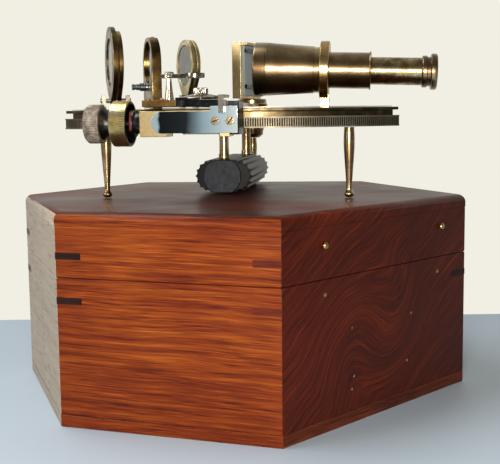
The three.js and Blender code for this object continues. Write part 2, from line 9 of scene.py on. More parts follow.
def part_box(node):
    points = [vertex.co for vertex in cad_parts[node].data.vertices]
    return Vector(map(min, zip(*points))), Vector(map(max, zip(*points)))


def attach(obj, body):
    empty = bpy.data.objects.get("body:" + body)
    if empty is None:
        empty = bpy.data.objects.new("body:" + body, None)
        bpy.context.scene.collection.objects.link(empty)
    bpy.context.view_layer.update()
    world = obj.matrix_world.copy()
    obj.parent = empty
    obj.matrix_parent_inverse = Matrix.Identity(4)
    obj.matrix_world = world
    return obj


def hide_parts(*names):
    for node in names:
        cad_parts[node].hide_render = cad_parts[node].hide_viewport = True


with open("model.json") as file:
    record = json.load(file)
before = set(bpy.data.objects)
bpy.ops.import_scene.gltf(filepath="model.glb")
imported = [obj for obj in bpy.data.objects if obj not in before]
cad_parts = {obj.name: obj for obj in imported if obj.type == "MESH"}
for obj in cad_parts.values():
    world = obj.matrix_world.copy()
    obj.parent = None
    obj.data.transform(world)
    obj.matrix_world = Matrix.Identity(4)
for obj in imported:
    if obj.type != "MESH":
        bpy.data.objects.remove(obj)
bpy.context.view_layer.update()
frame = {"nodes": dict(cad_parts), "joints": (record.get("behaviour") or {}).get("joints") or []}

bpy.context.scene.view_settings.view_transform = "Standard"

# ---- Camera: a short telephoto a little above the lid, facing the case's front left corner ----
# It stands 0.64 m off at the height of the sextant and looks slightly down, so the lid is foreshortened.
CAMERA_PLACE = (-0.20726, -0.60379, 0.177)
CAMERA_HEADING = math.radians(19.72)
CAMERA_PITCH = 0.12178
CAMERA_ROLL = 0.012252
CAMERA_LENS = 68.12
heading = Vector((math.sin(CAMERA_HEADING), math.cos(CAMERA_HEADING), 0))
level_right = Vector((math.cos(CAMERA_HEADING), -math.sin(CAMERA_HEADING), 0))
level_up = heading * math.sin(CAMERA_PITCH) + Vector((0, 0, math.cos(CAMERA_PITCH)))
camera_x = level_right * math.cos(CAMERA_ROLL) - level_up * math.sin(CAMERA_ROLL)
camera_y = level_right * math.sin(CAMERA_ROLL) + level_up * math.cos(CAMERA_ROLL)
camera = bpy.data.objects.new("camera", bpy.data.cameras.new("camera"))
bpy.context.scene.collection.objects.link(camera)
turn = Matrix((camera_x, camera_y, camera_x.cross(camera_y))).transposed().to_4x4()
camera.matrix_world = Matrix.Translation(CAMERA_PLACE) @ turn
camera.data.lens = CAMERA_LENS
camera.data.sensor_width = 36
bpy.context.scene.camera = camera

# ---- Table top: a pale painted board, smooth and slightly cool, with a rounded far edge ----
# It is only a stage: its far edge crosses behind the case, and it reaches well past both sides.
TABLE_EDGE_BEYOND_CAMERA = 0.829
TABLE_REACH = 3.0
TABLE_THICKNESS = 0.03


def linear(colour, alpha=1.0):
    """An sRGB hex colour as linear RGBA."""
    parts = [int(colour[i:i + 2], 16) / 255 for i in (1, 3, 5)]
    return [c / 12.92 if c <= 0.04045 else ((c + 0.055) / 1.055) ** 2.4 for c in parts] + [alpha]


def add_node(tree, kind, inputs=None, **settings):
    """Adds a node, sets its settings, and links or sets its inputs."""
    node = tree.nodes.new(kind)
    for name, value in settings.items():
        setattr(node, name, value)
    for socket, value in (inputs or {}).items():
        if isinstance(value, bpy.types.NodeSocket):
            tree.links.new(value, node.inputs[socket])
        else:
            node.inputs[socket].default_value = value
    return node


def new_finish(name):
    """An empty material with one shader, which the caller fills in."""
    made = bpy.data.materials.new(name)
    made.use_nodes = True
    tree = made.node_tree
    return made, tree, tree.nodes["Principled BSDF"]


def fade(tree, factor, *stops):
    """A colour ramp on a factor. Each stop is (position, sRGB hex)."""
    ramp = add_node(tree, "ShaderNodeValToRGB", {"Fac": factor})
    for place, colour in stops[1:-1]:
        ramp.color_ramp.elements.new(place)
    for element, (place, colour) in zip(ramp.color_ramp.elements, stops):
        element.position = place
        element.color = linear(colour)
    return ramp.outputs["Color"]


# Eggshell paint on board: a wide soft sheen, no clear reflection, and a faint unevenness of colour.
table_paint, tree, shader = new_finish("eggshell_painted_table")
cloud = add_node(tree, "ShaderNodeTexNoise", {"Scale": 3.0, "Detail": 4.0})
tree.links.new(fade(tree, cloud.outputs["Fac"], (0.3, "#9aa9b8"), (0.7, "#a5b3c0")),
               shader.inputs["Base Color"])
shader.inputs["Roughness"].default_value = 0.55

TABLE_EDGE_ROUNDING = 0.004
edge = Vector(CAMERA_PLACE).dot(heading) + TABLE_EDGE_BEYOND_CAMERA
table_shape = bmesh.new()
bmesh.ops.create_cube(table_shape, size=1.0)
bmesh.ops.scale(table_shape, vec=(2 * TABLE_REACH, 2 * TABLE_REACH, TABLE_THICKNESS), verts=table_shape.verts)
middle = heading * (edge - TABLE_REACH) - Vector((0, 0, TABLE_THICKNESS / 2))
table_shape.transform(Matrix.Translation(middle) @ Matrix.Rotation(-CAMERA_HEADING, 4, "Z"))
table_mesh = bpy.data.meshes.new("table_top")
table_shape.to_mesh(table_mesh)
table = bpy.data.objects.new("table_top", table_mesh)
bpy.context.scene.collection.objects.link(table)
table_mesh.materials.append(table_paint)
table_edge = table.modifiers.new("rounded_edge", "BEVEL")
table_edge.width, table_edge.segments = TABLE_EDGE_ROUNDING, 4

# ---- Light: a lamp just above the lens, soft boxes overhead and at the left, a pale room ----
# The room is cream where it is seen. In reflections it is pale ahead and darker behind the camera,
# which gives polished metal its dark bands.
ROOM_SEEN = "#f1efe3"
ROOM_PALE = "#dfddd4"
ROOM_BEHIND_CAMERA = "#66635d"
ROOM_AT_THE_SIDES = "#8d8980"
ROOM_LIGHT = 1.0


def soft_box(name, place, target, size, power, colour):
    """A round soft lamp, in metres and watts, aimed at a target."""
    lamp = bpy.data.lights.new(name, "AREA")
    lamp.shape, lamp.size, lamp.energy = "DISK", size, power
    lamp.color = linear(colour)[:3]
    holder = bpy.data.objects.new(name, lamp)
    bpy.context.scene.collection.objects.link(holder)
    aim = (Vector(target) - Vector(place)).to_track_quat("-Z", "Y")
    holder.matrix_world = Matrix.Translation(place) @ aim.to_matrix().to_4x4()
    return holder


key_place = Vector(CAMERA_PLACE) + Vector((0, 0, 0.04)) - level_right * 0.02
soft_box("key_lamp", key_place, (0, 0, 0.12), size=0.16, power=4.3, colour="#fff6ea")
soft_box("ceiling_box", (-0.5, 0.3, 1.3), (0, 0, 0.1), size=0.9, power=11.5, colour="#f4f7fb")
soft_box("left_box", (-1.3, -0.2, 0.6), (0, 0, 0.1), size=0.7, power=9.0, colour="#f6f4ee")

room = bpy.data.worlds.new("room")
bpy.context.scene.world = room
room.use_nodes = True
tree = room.node_tree
tree.nodes.clear()
place = add_node(tree, "ShaderNodeTexCoord")
along = add_node(tree, "ShaderNodeVectorMath", {
    0: place.outputs["Generated"], 1: heading,
}, operation="DOT_PRODUCT")
share = add_node(tree, "ShaderNodeMapRange", {
    "Value": along.outputs["Value"], "From Min": -0.7, "From Max": 0.8,
})
shades = (0.0, ROOM_BEHIND_CAMERA), (0.5, ROOM_AT_THE_SIDES), (1.0, ROOM_PALE)
walls = fade(tree, share.outputs["Result"], *shades)
seen = add_node(tree, "ShaderNodeLightPath")
shown = add_node(tree, "ShaderNodeMix", {
    "Factor": seen.outputs["Is Camera Ray"], "A": walls, "B": linear(ROOM_SEEN),
}, data_type="RGBA")
glow = add_node(tree, "ShaderNodeBackground", {"Color": shown.outputs["Result"], "Strength": ROOM_LIGHT})
add_node(tree, "ShaderNodeOutputWorld", {"Surface": glow.outputs["Background"]})

# ---- Case walls: six mahogany boards, mitred at the corners, sawn apart at the lid ----
# The boards are solid mahogany, planed and French polished; the front left board is straight
# grained and orange, the next one round is darker with a curl round a crotch.
MM = 0.001
CASE_CORNERS = [(-132.5, -67.5), (-27.3, -150), (132.5, -73), (132.5, 73), (-27.3, 150), (-132.5, 67.5)]
WALL_THICKNESS = 9.0
WOOD_UV = 0.01  # a board's UV counts 100 mm as one
PLANED_OFF = 0.06  # how far each board's face lies behind the corner keys
SWIRL_REACH = 60 * WOOD_UV
SWIRL_TURN = 1.35
PORE_SCALE = (4.5, 150, 1)
case_frame = Matrix.Scale(MM, 4)


def show(name, body, shape, place, finish, stands_for=(), rounding=0.0, steps=2, sharp=35):
    """Puts a shape, drawn in millimetres in its own frame, on a body with its finish."""
    shape.transform(place)
    bmesh.ops.recalc_face_normals(shape, faces=shape.faces)
    limit = math.radians(sharp)
    for face in shape.faces:
        face.smooth = True
    for line in shape.edges:
        line.smooth = line.is_manifold and line.calc_face_angle(math.pi) < limit
    mesh = bpy.data.meshes.new(name)
    shape.to_mesh(mesh)
    shape.free()
    made = bpy.data.objects.new(name, mesh)
    bpy.context.scene.collection.objects.link(made)
    mesh.materials.append(finish)
    if rounding:
        soften = made.modifiers.new("rounded_edges", "BEVEL")
        soften.width, soften.segments, soften.angle_limit = rounding * MM, steps, limit
        soften.harden_normals = True
    level = made.modifiers.new("flats_stay_flat", "WEIGHTED_NORMAL")
    level.keep_sharp = True
    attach(made, body)
    if stands_for:
        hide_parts(*stands_for)
    return made


def inset(corners, distance):
    """The outline moved inwards by the same distance on every side."""
    moved = []
    for i, corner in enumerate(corners):
        before, after = Vector(corners[i - 1]), Vector(corners[(i + 1) % len(corners)])
        a, b = (Vector(corner) - before).normalized(), (after - Vector(corner)).normalized()
        reach = distance / (1 + a.dot(b))
        moved.append((corner[0] - reach * (a.y + b.y), corner[1] + reach * (a.x + b.x)))
    return moved


def polished_mahogany(name, shades, grain_turn, curl, streak, seed, fading_and_glare=0.0, gloss=0.34, cloud=0.25,
                      crotch=None):
    """French polished mahogany. shades run from dark to light; curl bends the grain round a crotch,
    streak is how many streaks there are in 100 mm, cloud is the share of the wide shading, and
    crotch is where on the board the grain swirls round a forked branch."""
    made, tree, shader = new_finish(name)
    place = add_node(tree, "ShaderNodeTexCoord")
    laid = place.outputs["UV"]
    if crotch:
        away = add_node(tree, "ShaderNodeVectorMath", {0: laid, 1: crotch}, operation="DISTANCE")
        swirl = add_node(tree, "ShaderNodeMapRange", {
            "Value": away.outputs["Value"], "From Min": 0.0, "From Max": SWIRL_REACH,
            "To Min": SWIRL_TURN, "To Max": 0.0,
        }, interpolation_type="SMOOTHSTEP")
        round_fork = {"Vector": laid, "Center": crotch, "Angle": swirl.outputs["Result"]}
        laid = add_node(tree, "ShaderNodeVectorRotate", round_fork, rotation_type="Z_AXIS").outputs["Vector"]
    board = add_node(tree, "ShaderNodeMapping", {
        "Vector": laid, "Location": (seed, seed * 0.7, 0), "Rotation": (0, 0, math.radians(grain_turn)),
    })
    drift = add_node(tree, "ShaderNodeTexNoise", {
        "Vector": board.outputs["Vector"], "Scale": 1.3, "Detail": 3.0,
    })
    offset = add_node(tree, "ShaderNodeVectorMath", {
        0: drift.outputs["Color"], 1: (0.5, 0.5, 0.5),
    }, operation="SUBTRACT")
    bend = add_node(tree, "ShaderNodeVectorMath", {
        0: offset.outputs["Vector"], "Scale": curl,
    }, operation="SCALE")
    bent = add_node(tree, "ShaderNodeVectorMath", {0: board.outputs["Vector"], 1: bend.outputs["Vector"]})
    # growth rings cut lengthwise: fine streaks many times as long as they are apart
    stretch = add_node(tree, "ShaderNodeMapping", {
        "Vector": bent.outputs["Vector"], "Scale": (0.9, streak, 1),
    })
    rings = add_node(tree, "ShaderNodeTexNoise", {
        "Vector": stretch.outputs["Vector"], "Scale": 1.0, "Detail": 7.0, "Roughness": 0.62,
    })
    wide = add_node(tree, "ShaderNodeTexNoise", {
        "Vector": bent.outputs["Vector"], "Scale": 1.6, "Detail": 2.0,
    })
    # open pores filled with dark polish, 0.3 mm wide and 5 to 15 mm long, drawn at 0.6 mm to show
    thread = add_node(tree, "ShaderNodeMapping", {"Vector": bent.outputs["Vector"], "Scale": PORE_SCALE})
    pores = add_node(tree, "ShaderNodeTexNoise", {
        "Vector": thread.outputs["Vector"], "Scale": 1.0, "Detail": 2.0,
    })
    tone = add_node(tree, "ShaderNodeMix", {
        "Factor": cloud, "A": rings.outputs["Fac"], "B": wide.outputs["Fac"],
    })
    places = (0.3, 0.42, 0.51, 0.6, 0.72)
    body = fade(tree, tone.outputs["Result"], *zip(places, shades))
    # a grey wash over the board: sun fading, and a painted glare on that side
    if fading_and_glare:
        fade_and_glare_cloud = add_node(tree, "ShaderNodeTexNoise", {
            "Vector": stretch.outputs["Vector"], "Scale": 0.6, "Detail": 5.0,
        })
        amount = add_node(tree, "ShaderNodeMapRange", {
            "Value": fade_and_glare_cloud.outputs["Fac"], "From Min": 0.3, "From Max": 0.7,
            "To Min": fading_and_glare * 0.8, "To Max": fading_and_glare,
        })
        faded_glare_mix = add_node(tree, "ShaderNodeMix", {
            "Factor": amount.outputs["Result"], "A": body, "B": linear(FADED_GLARE_GREY),
        }, data_type="RGBA")
        body = faded_glare_mix.outputs["Result"]
    filled = fade(tree, pores.outputs["Fac"], (0.28, "#5a4a44"), (0.45, "#ffffff"))
    grained = add_node(tree, "ShaderNodeMix", {
        "Factor": 0.75, "A": body, "B": filled,
    }, data_type="RGBA", blend_type="MULTIPLY")
    flecks = fade(tree, pores.outputs["Fac"], (0.54, "#000000"), (0.7, shades[-1]))
    lit = add_node(tree, "ShaderNodeMix", {
        "Factor": 0.3 * (1 - fading_and_glare), "A": grained.outputs["Result"], "B": flecks,
    }, data_type="RGBA", blend_type="ADD")
    colour = lit.outputs["Result"]
    tree.links.new(colour, shader.inputs["Base Color"])
    sheen = add_node(tree, "ShaderNodeMapRange", {
        "Value": wide.outputs["Fac"], "From Min": 0.3, "From Max": 0.7,
        "To Min": gloss, "To Max": gloss + 0.14,
    })
    tree.links.new(sheen.outputs["Result"], shader.inputs["Roughness"])
    shader.inputs["Specular IOR Level"].default_value = 0.15
    dents = add_node(tree, "ShaderNodeBump", {
        "Height": pores.outputs["Fac"], "Strength": 0.12, "Distance": 0.0002,
    })
    tree.links.new(dents.outputs["Normal"], shader.inputs["Normal"])
    return made


# The straight board is orange with close fine streaks. The crotch board is red brown, and its streaks
# swirl round a fork. The third is sun faded and carries a painted grey glare, so its grain hardly shows.
FADED_GLARE_GREY = "#a89d8d"
ORANGE_SHADES = ("#431405", "#581d06", "#692907", "#7b390b", "#935018")
DARK_SHADES = ("#260903", "#370f04", "#421205", "#4e1906", "#6b2b0c")
straight_mahogany = polished_mahogany("straight_grained_mahogany", ORANGE_SHADES, 0.8, 0.04, 34.0, 3.1)
crotch_mahogany = polished_mahogany("crotch_figured_mahogany", DARK_SHADES, -34, 0.2, 40.0, 7.7,
                                    crotch=(5.8, 0.5, 0))
faded_glare_mahogany = polished_mahogany("sun_faded_mahogany_with_painted_glare", DARK_SHADES, 0, 0.05, 26.0, 1.3, 0.9, 0.5)
wall_finishes = [straight_mahogany, crotch_mahogany, faded_glare_mahogany] * 2


def wall_board(side, low, high):
    """One mitred board, with its length and height as its own UV."""
    outer, inner = inset(CASE_CORNERS, PLANED_OFF), inset(CASE_CORNERS, WALL_THICKNESS)
    ends = (side, (side + 1) % len(CASE_CORNERS))
    plan = [outer[ends[0]], outer[ends[1]], inner[ends[1]], inner[ends[0]]]
    shape = bmesh.new()
    lower = [shape.verts.new((x, y, low)) for x, y in plan]
    upper = [shape.verts.new((x, y, high)) for x, y in plan]
    shape.faces.new(lower[::-1])
    shape.faces.new(upper)
    for i in range(4):
        shape.faces.new((lower[i], lower[(i + 1) % 4], upper[(i + 1) % 4], upper[i]))
    start = Vector(plan[0])
    run = (Vector(plan[1]) - start).normalized()
    uv = shape.loops.layers.uv.new("UVMap")
    for face in shape.faces:
        for loop in face.loops:
            flat = Vector(loop.vert.co.xy) - start
            depth = flat.dot(Vector((-run.y, run.x)))
            loop[uv].uv = (flat.dot(run) * WOOD_UV + side * 5, (loop.vert.co.z + depth) * WOOD_UV)
    return shape


for part, body, node in (("case", "case", "case_walls"), ("lid", "lid", "lid_walls")):
    low, high = (corner.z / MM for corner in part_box(node))
    for side, finish in enumerate(wall_finishes):
        board = wall_board(side, low, high)
        show(f"{part}_wall_board_{side + 1}", body, board, case_frame, finish, (node,), 0.5)

# ---- Lid top: one wide mahogany board, its edge rounded with a plane, darkened by handling ----
# It is glued on the lid's walls. Its edge continues the boards below it, each with its own grain.
LID_EDGE_RADIUS = 5.0
LID_EDGE_STEPS = 8
# Old French polish over mahogany: nearly black brown, cloudy, and glossier than the walls.
LID_SHADES = ("#240903", "#361004", "#461706", "#55200a", "#6a2f10")
dark_mahogany = polished_mahogany("dark_polished_mahogany", LID_SHADES, 4, 0.2, 14.0, 5.9, gloss=0.3,
                                  cloud=0.45)
GAP = 0.3  # the clearance between neighbouring pieces
lid_low, lid_high = (corner.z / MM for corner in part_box("lid_top_board"))


def side_run(side):
    """The direction along a side of the case."""
    start, end = Vector(CASE_CORNERS[side]), Vector(CASE_CORNERS[(side + 1) % 6])
    return (end - start).normalized()


def side_facing(side):
    """The direction a side of the case faces."""
    run = side_run(side)
    return Vector((run.y, -run.x, 0))


def board_uv(spot, side, across):
    """A board's own UV: along its side of the case, or along X where it faces up or down."""
    if side is None:
        return spot.x * WOOD_UV, across * WOOD_UV
    along = (spot.xy - Vector(CASE_CORNERS[side])).dot(side_run(side)) + side * 500
    return along * WOOD_UV, spot.z * WOOD_UV


lid_board = bmesh.new()
uv = lid_board.loops.layers.uv.new("UVMap")
rows = [(PLANED_OFF, lid_low - GAP), (PLANED_OFF, lid_high - LID_EDGE_RADIUS)]
for i in range(1, LID_EDGE_STEPS + 1):
    lean = math.pi / 2 * i / LID_EDGE_STEPS
    back = PLANED_OFF + LID_EDGE_RADIUS * (1 - math.cos(lean))
    rows.append((back, lid_high - LID_EDGE_RADIUS * (1 - math.sin(lean))))
rings = [[lid_board.verts.new((x, y, z)) for x, y in inset(CASE_CORNERS, back)] for back, z in rows]
for lower, upper in zip(rings, rings[1:]):
    for i in range(6):
        lid_board.faces.new((lower[i], lower[(i + 1) % 6], upper[(i + 1) % 6], upper[i]))
lid_board.faces.new(rings[0][::-1])
lid_board.faces.new(rings[-1])
lid_board.normal_update()
for face in lid_board.faces:
    side = next((i for i in range(6) if face.normal.dot(side_facing(i)) > 0.75), None)
    face.material_index = 0 if side is None else 1 + side
    for loop in face.loops:
        spot = loop.vert.co
        loop[uv].uv = board_uv(spot, side, spot.y + spot.z)
made = show("lid_board", "lid", lid_board, case_frame, dark_mahogany, ("lid_top_board",),
            sharp=60)
for finish in wall_finishes:
    made.data.materials.append(finish)

# ---- Base board: a thin mahogany bottom whose edge shows as a strip under the walls ----
# It is pinned up into the walls and polished with them. Its front right edge is paler than the board
# above it.
STRIP_SHADES = ("#2e0f06", "#42190b", "#52220f", "#632f17", "#7a4526")
strip_mahogany = polished_mahogany("base_strip_mahogany", STRIP_SHADES, 0, 0.05, 30.0, 2.2)
strip_finishes = [straight_mahogany, strip_mahogany, faded_glare_mahogany] * 2
base_low, base_high = (corner.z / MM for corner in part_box("case_base_board"))
base_board = bmesh.new()
uv = base_board.loops.layers.uv.new("UVMap")
outline = inset(CASE_CORNERS, PLANED_OFF)
under, over = ([base_board.verts.new((x, y, z)) for x, y in outline] for z in (base_low, base_high + GAP))
base_board.faces.new(under[::-1])
base_board.faces.new(over)
for i in range(6):
    side_face = base_board.faces.new((under[i], under[(i + 1) % 6], over[(i + 1) % 6], over[i]))
    side_face.material_index = 1 + i
for face in base_board.faces:
    side = face.material_index - 1 if face.material_index else None
    for loop in face.loops:
        loop[uv].uv = board_uv(loop.vert.co, side, loop.vert.co.y)
made = show("base_board", "case", base_board, case_frame, strip_mahogany, ("case_base_board",),
            0.5, 3)
for finish in strip_finishes:
    made.data.materials.append(finish)

# ---- Corner keys: slips of dark hardwood glued into saw cuts across each mitre and planed flush ----
# Most show as a dark bar 16 mm long and 4 mm high on both faces of a corner. The left and the front
# corner's show on one face only, and the lid has none at its right corner.
KEY_REACH = 16.0
KEY_DEPTH = 0.5
LEFT_CORNER, FRONT_CORNER, RIGHT_CORNER = 0, 1, 2
KEY_HEIGHTS = {"lid": (97.8, 101.8), "case": (72.2, 76.2)}


def slip_wood(name, dark, pale):
    """Oiled hardwood cut along its fibres, which are about a millimetre apart."""
    made, tree, shader = new_finish(name)
    place = add_node(tree, "ShaderNodeTexCoord")
    fibre = add_node(tree, "ShaderNodeMapping", {"Vector": place.outputs["Object"], "Scale": (60, 60, 900)})
    streaks = add_node(tree, "ShaderNodeTexNoise", {
        "Vector": fibre.outputs["Vector"], "Scale": 1.0, "Detail": 4.0,
    })
    tree.links.new(fade(tree, streaks.outputs["Fac"], (0.3, dark), (0.7, pale)), shader.inputs["Base Color"])
    shader.inputs["Roughness"].default_value = 0.42
    shader.inputs["Specular IOR Level"].default_value = 0.15
    return made


# Rosewood is nearly black against the boards. The front corner's slips are of reddish wood, and almost
# match the board they are in.
key_wood = slip_wood("oiled_rosewood_key", "#120705", "#2a120a")
red_key_wood = slip_wood("reddish_mahogany_key", "#3c1208", "#5c200d")
for part, (low, high) in KEY_HEIGHTS.items():
    for i, corner in enumerate(CASE_CORNERS):
        if (part, i) == ("lid", RIGHT_CORNER):
            continue
        tip = Vector(corner)
        before, after = -side_run(i - 1) * KEY_REACH, side_run(i) * KEY_REACH
        in_before, in_after = (-side_facing(k).xy * KEY_DEPTH for k in (i - 1, i))
        plan = [tip, tip + after, tip + after + in_after, tip + before + in_before, tip + before]
        if i == FRONT_CORNER:
            plan = [tip, tip + in_after, tip + before + in_before, tip + before]
        if i == LEFT_CORNER:
            plan = [tip, tip + after, tip + after + in_after, tip + in_before]
        key = bmesh.new()
        lower = [key.verts.new((*p, low)) for p in plan]
        upper = [key.verts.new((*p, high)) for p in plan]
        key.faces.new(lower[::-1])
        key.faces.new(upper)
        for k in range(len(plan)):
            key.faces.new((lower[k], lower[k - 1], upper[k - 1], upper[k]))
        finish = red_key_wood if i == FRONT_CORNER else key_wood
        show(f"{part}_corner_key_{i + 1}", part, key, case_frame, finish)

# ---- Hook studs and pins on the front right side: turned brass, driven into the boards ----
# The hooks are gone; their studs stay in the lid, with two hook pins and five panel pins below.
LID_STUDS = ("left_hook_stud", "right_hook_stud")
BIG_PIN_RADIUS, SMALL_PIN_RADIUS = 1.2, 0.85
BIG_PINS = [(35.0, 78.8), (145.1, 78.3)]
SMALL_PINS = [(117.0, 55.8), (58.9, 56.3), (113.1, 26.8), (60.8, 27.6), (58.9, 20.2)]
TURNED_STEPS = 48


def turned(profile, steps=TURNED_STEPS):
    """A turned piece round Z. Each profile point is [radius, height]; a closed profile makes a ring.
    Its UV is the way round and the way along, in centimetres."""
    shape = bmesh.new()
    uv = shape.loops.layers.uv.new("UVMap")
    closed = profile[0] == profile[-1]
    rings = []
    for radius, height in profile[:-1] if closed else profile:
        count = 1 if radius < 1e-6 else steps
        rings.append([shape.verts.new((
            radius * math.cos(2 * math.pi * i / steps), radius * math.sin(2 * math.pi * i / steps), height,
        )) for i in range(count)])
    if closed:
        rings.append(rings[0])
    along = 0.0
    for row, (lower, upper) in enumerate(zip(rings, rings[1:])):
        step = (Vector(profile[row + 1]) - Vector(profile[row])).length / 10
        for i in range(steps):
            around = [(i, along), (i + 1, along), (i + 1, along + step), (i, along + step)]
            corners = [(lower[j % len(lower)], (j, v)) for j, v in around[:2]]
            corners += [(upper[j % len(upper)], (j, v)) for j, v in around[2:]]
            kept = {vert: where for vert, where in corners}
            if len(kept) < 3:
                continue
            face = shape.faces.new(list(kept))
            for loop in face.loops:
                j, v = kept[loop.vert]
                loop[uv].uv = (j / steps, v)
        along += step
    return shape


PER_MM = (1000, 1000, 1000)  # makes object coordinates, in metres, count millimetres


def metal_finish(name, shades, rough, patch=14.0, wear=0.35, lines=0.0, metallic=1.0, spots="#1d140a",
                 coat=0.0):
    """A worked metal with tarnish in patches about as wide as patch mm, dark specks, fine scratches,
    and, where lines is set, the marks of the turning tool round it."""
    made, tree, shader = new_finish(name)
    place = add_node(tree, "ShaderNodeTexCoord")
    spot = add_node(tree, "ShaderNodeMapping", {"Vector": place.outputs["Object"], "Scale": PER_MM})
    cloud = add_node(tree, "ShaderNodeTexNoise", {
        "Vector": spot.outputs["Vector"], "Scale": 1 / patch, "Detail": 6.0, "Roughness": 0.6,
    })
    tint = fade(tree, cloud.outputs["Fac"], *zip((0.32, 0.46, 0.56, 0.68), shades))
    speck = add_node(tree, "ShaderNodeTexNoise", {
        "Vector": spot.outputs["Vector"], "Scale": 0.9, "Detail": 3.0,
    })
    dirt = add_node(tree, "ShaderNodeMapRange", {
        "Value": speck.outputs["Fac"], "From Min": 0.62, "From Max": 0.74, "To Min": 0.0, "To Max": wear,
    })
    colour = add_node(tree, "ShaderNodeMix", {
        "Factor": dirt.outputs["Result"], "A": tint, "B": linear(spots),
    }, data_type="RGBA")
    tree.links.new(colour.outputs["Result"], shader.inputs["Base Color"])
    gloss = add_node(tree, "ShaderNodeMapRange", {
        "Value": cloud.outputs["Fac"], "From Min": 0.3, "From Max": 0.7,
        "To Min": rough + 0.1, "To Max": rough - 0.04,
    })
    tree.links.new(gloss.outputs["Result"], shader.inputs["Roughness"])
    shader.inputs["Metallic"].default_value = metallic
    shader.inputs["Coat Weight"].default_value = coat
    shader.inputs["Coat Roughness"].default_value = 0.12
    # hairline scratches 0.1 mm wide in one direction, over a soft waviness from hand polishing
    hair = add_node(tree, "ShaderNodeMapping", {
        "Vector": spot.outputs["Vector"], "Rotation": (0.6, 0.4, 0.9), "Scale": (0.15, 4, 4),
    })
    scratch = add_node(tree, "ShaderNodeTexNoise", {
        "Vector": hair.outputs["Vector"], "Scale": 1.0, "Detail": 2.0,
    })
    relief = scratch.outputs["Fac"]
    if lines:
        ring = add_node(tree, "ShaderNodeMapping", {"Vector": place.outputs["UV"], "Scale": (0.4, 60, 1)})
        tool = add_node(tree, "ShaderNodeTexNoise", {
            "Vector": ring.outputs["Vector"], "Scale": 1.0, "Detail": 3.0,
        })
        mixed = add_node(tree, "ShaderNodeMix", {"Factor": lines, "A": relief, "B": tool.outputs["Fac"]})
        relief = mixed.outputs["Result"]
    bump = add_node(tree, "ShaderNodeBump", {"Height": relief, "Strength": 0.06, "Distance": 0.0003})
    tree.links.new(bump.outputs["Normal"], shader.inputs["Normal"])
    return made


# Cast bronze goes dark olive brown in the open and stays paler where it is rubbed. Lacquer over turned
# bronze keeps it pinkish gold with fine rings. Polished brass that has worn is bright yellow with
# brown freckles, and turned brass has rings of light round it as well.
BRONZE_SHADES = ("#3d3425", "#514531", "#685b43", "#857659")
BRASS_SHADES = ("#8d7040", "#b7975a", "#cdb27a", "#e0cc9c")
aged_bronze = metal_finish("aged_cast_bronze", BRONZE_SHADES, 0.3)
lacquered_bronze = metal_finish("turned_lacquered_bronze", ("#6f583d", "#947b5a", "#b79e79", "#d6c3a1"), 0.25,
                                lines=0.7)
worn_brass = metal_finish("worn_polished_brass", BRASS_SHADES, 0.22)
turned_brass = metal_finish("turned_worn_brass", BRASS_SHADES, 0.22, lines=0.7)

stud_profile = [(0, 0), (1.2, 0), (1.2, 0.8), (2.0, 0.8), (2.1, 1.1), (1.9, 1.8), (1.3, 2.3), (0, 2.4)]
front_start, front_run, front_out = Vector(CASE_CORNERS[1]), side_run(1), side_facing(1)


def on_front_right(along, height, proud=0.0):
    """A frame on the case's front right side, with its Z axis pointing out."""
    spot = Vector((*(front_start + front_run * along), height)) + front_out * proud
    facing = Matrix((front_run.to_3d(), Vector((0, 0, 1)), front_out)).transposed().to_4x4()
    return case_frame @ Matrix.Translation(spot) @ facing


for node in LID_STUDS:
    low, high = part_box(node)
    spot = (low + high) / 2 / MM
    along = (spot.xy - front_start).dot(front_run)
    stud = turned(stud_profile)
    show(node + "_turned", "lid", stud, on_front_right(along, spot.z, 0.3), turned_brass,
         (node,), 0.15)
for i, (along, height) in enumerate(BIG_PINS + SMALL_PINS):
    radius = BIG_PIN_RADIUS if i < len(BIG_PINS) else SMALL_PIN_RADIUS
    head = turned([[0, -1], [radius, -1], [radius, 0.1], [radius * 0.6, 0.25], [0, 0.3]], 20)
    show(f"panel_pin_{i + 1}", "case", head, on_front_right(along, height), worn_brass)

# ---- Sextant frame: one bronze casting, its limb turned true and its edges filed ----
# The legs, the handle, the mirrors and the telescope all screw to it.
# Every sextant piece below is drawn on the pivot's axis, with +Y from the arc to the pivot.
FRAME_TURN = -27.0
ARM_TURN = -5.5
WORM_TURN = 2.5
joint_by_name = {joint["name"]: joint for joint in frame["joints"]}
pivot = Vector(joint_by_name["index_arm_swing"]["pos_m"])
ALONG_X = Matrix.Rotation(math.pi / 2, 4, "Y")


def seat(base, place=(0, 0, 0), turn=0.0, lean=0.0):
    """A frame set in another, moved in millimetres, turned about Z, then leaned about its own Y."""
    turned_by = Matrix.Rotation(math.radians(turn), 4, "Z") @ Matrix.Rotation(math.radians(lean), 4, "Y")
    return base @ Matrix.Translation(place) @ turned_by


sextant = seat(case_frame, (pivot.x / MM, pivot.y / MM, lid_high + GAP), FRAME_TURN)
arm = seat(sextant, turn=ARM_TURN)


def dressed_copy(node, body, finish, rounding):
    """The node's own shape with its flats merged and its edges filed round."""
    shape = bmesh.new()
    shape.from_mesh(frame["nodes"][node].data)
    bmesh.ops.remove_doubles(shape, verts=shape.verts, dist=1e-6)
    bmesh.ops.dissolve_limit(shape, angle_limit=math.radians(1), verts=shape.verts, edges=shape.edges)
    made = show(node + "_dressed", body, shape, Matrix.Identity(4), finish, (node,), rounding)
    made.modifiers["rounded_edges"].use_clamp_overlap = False
    return made


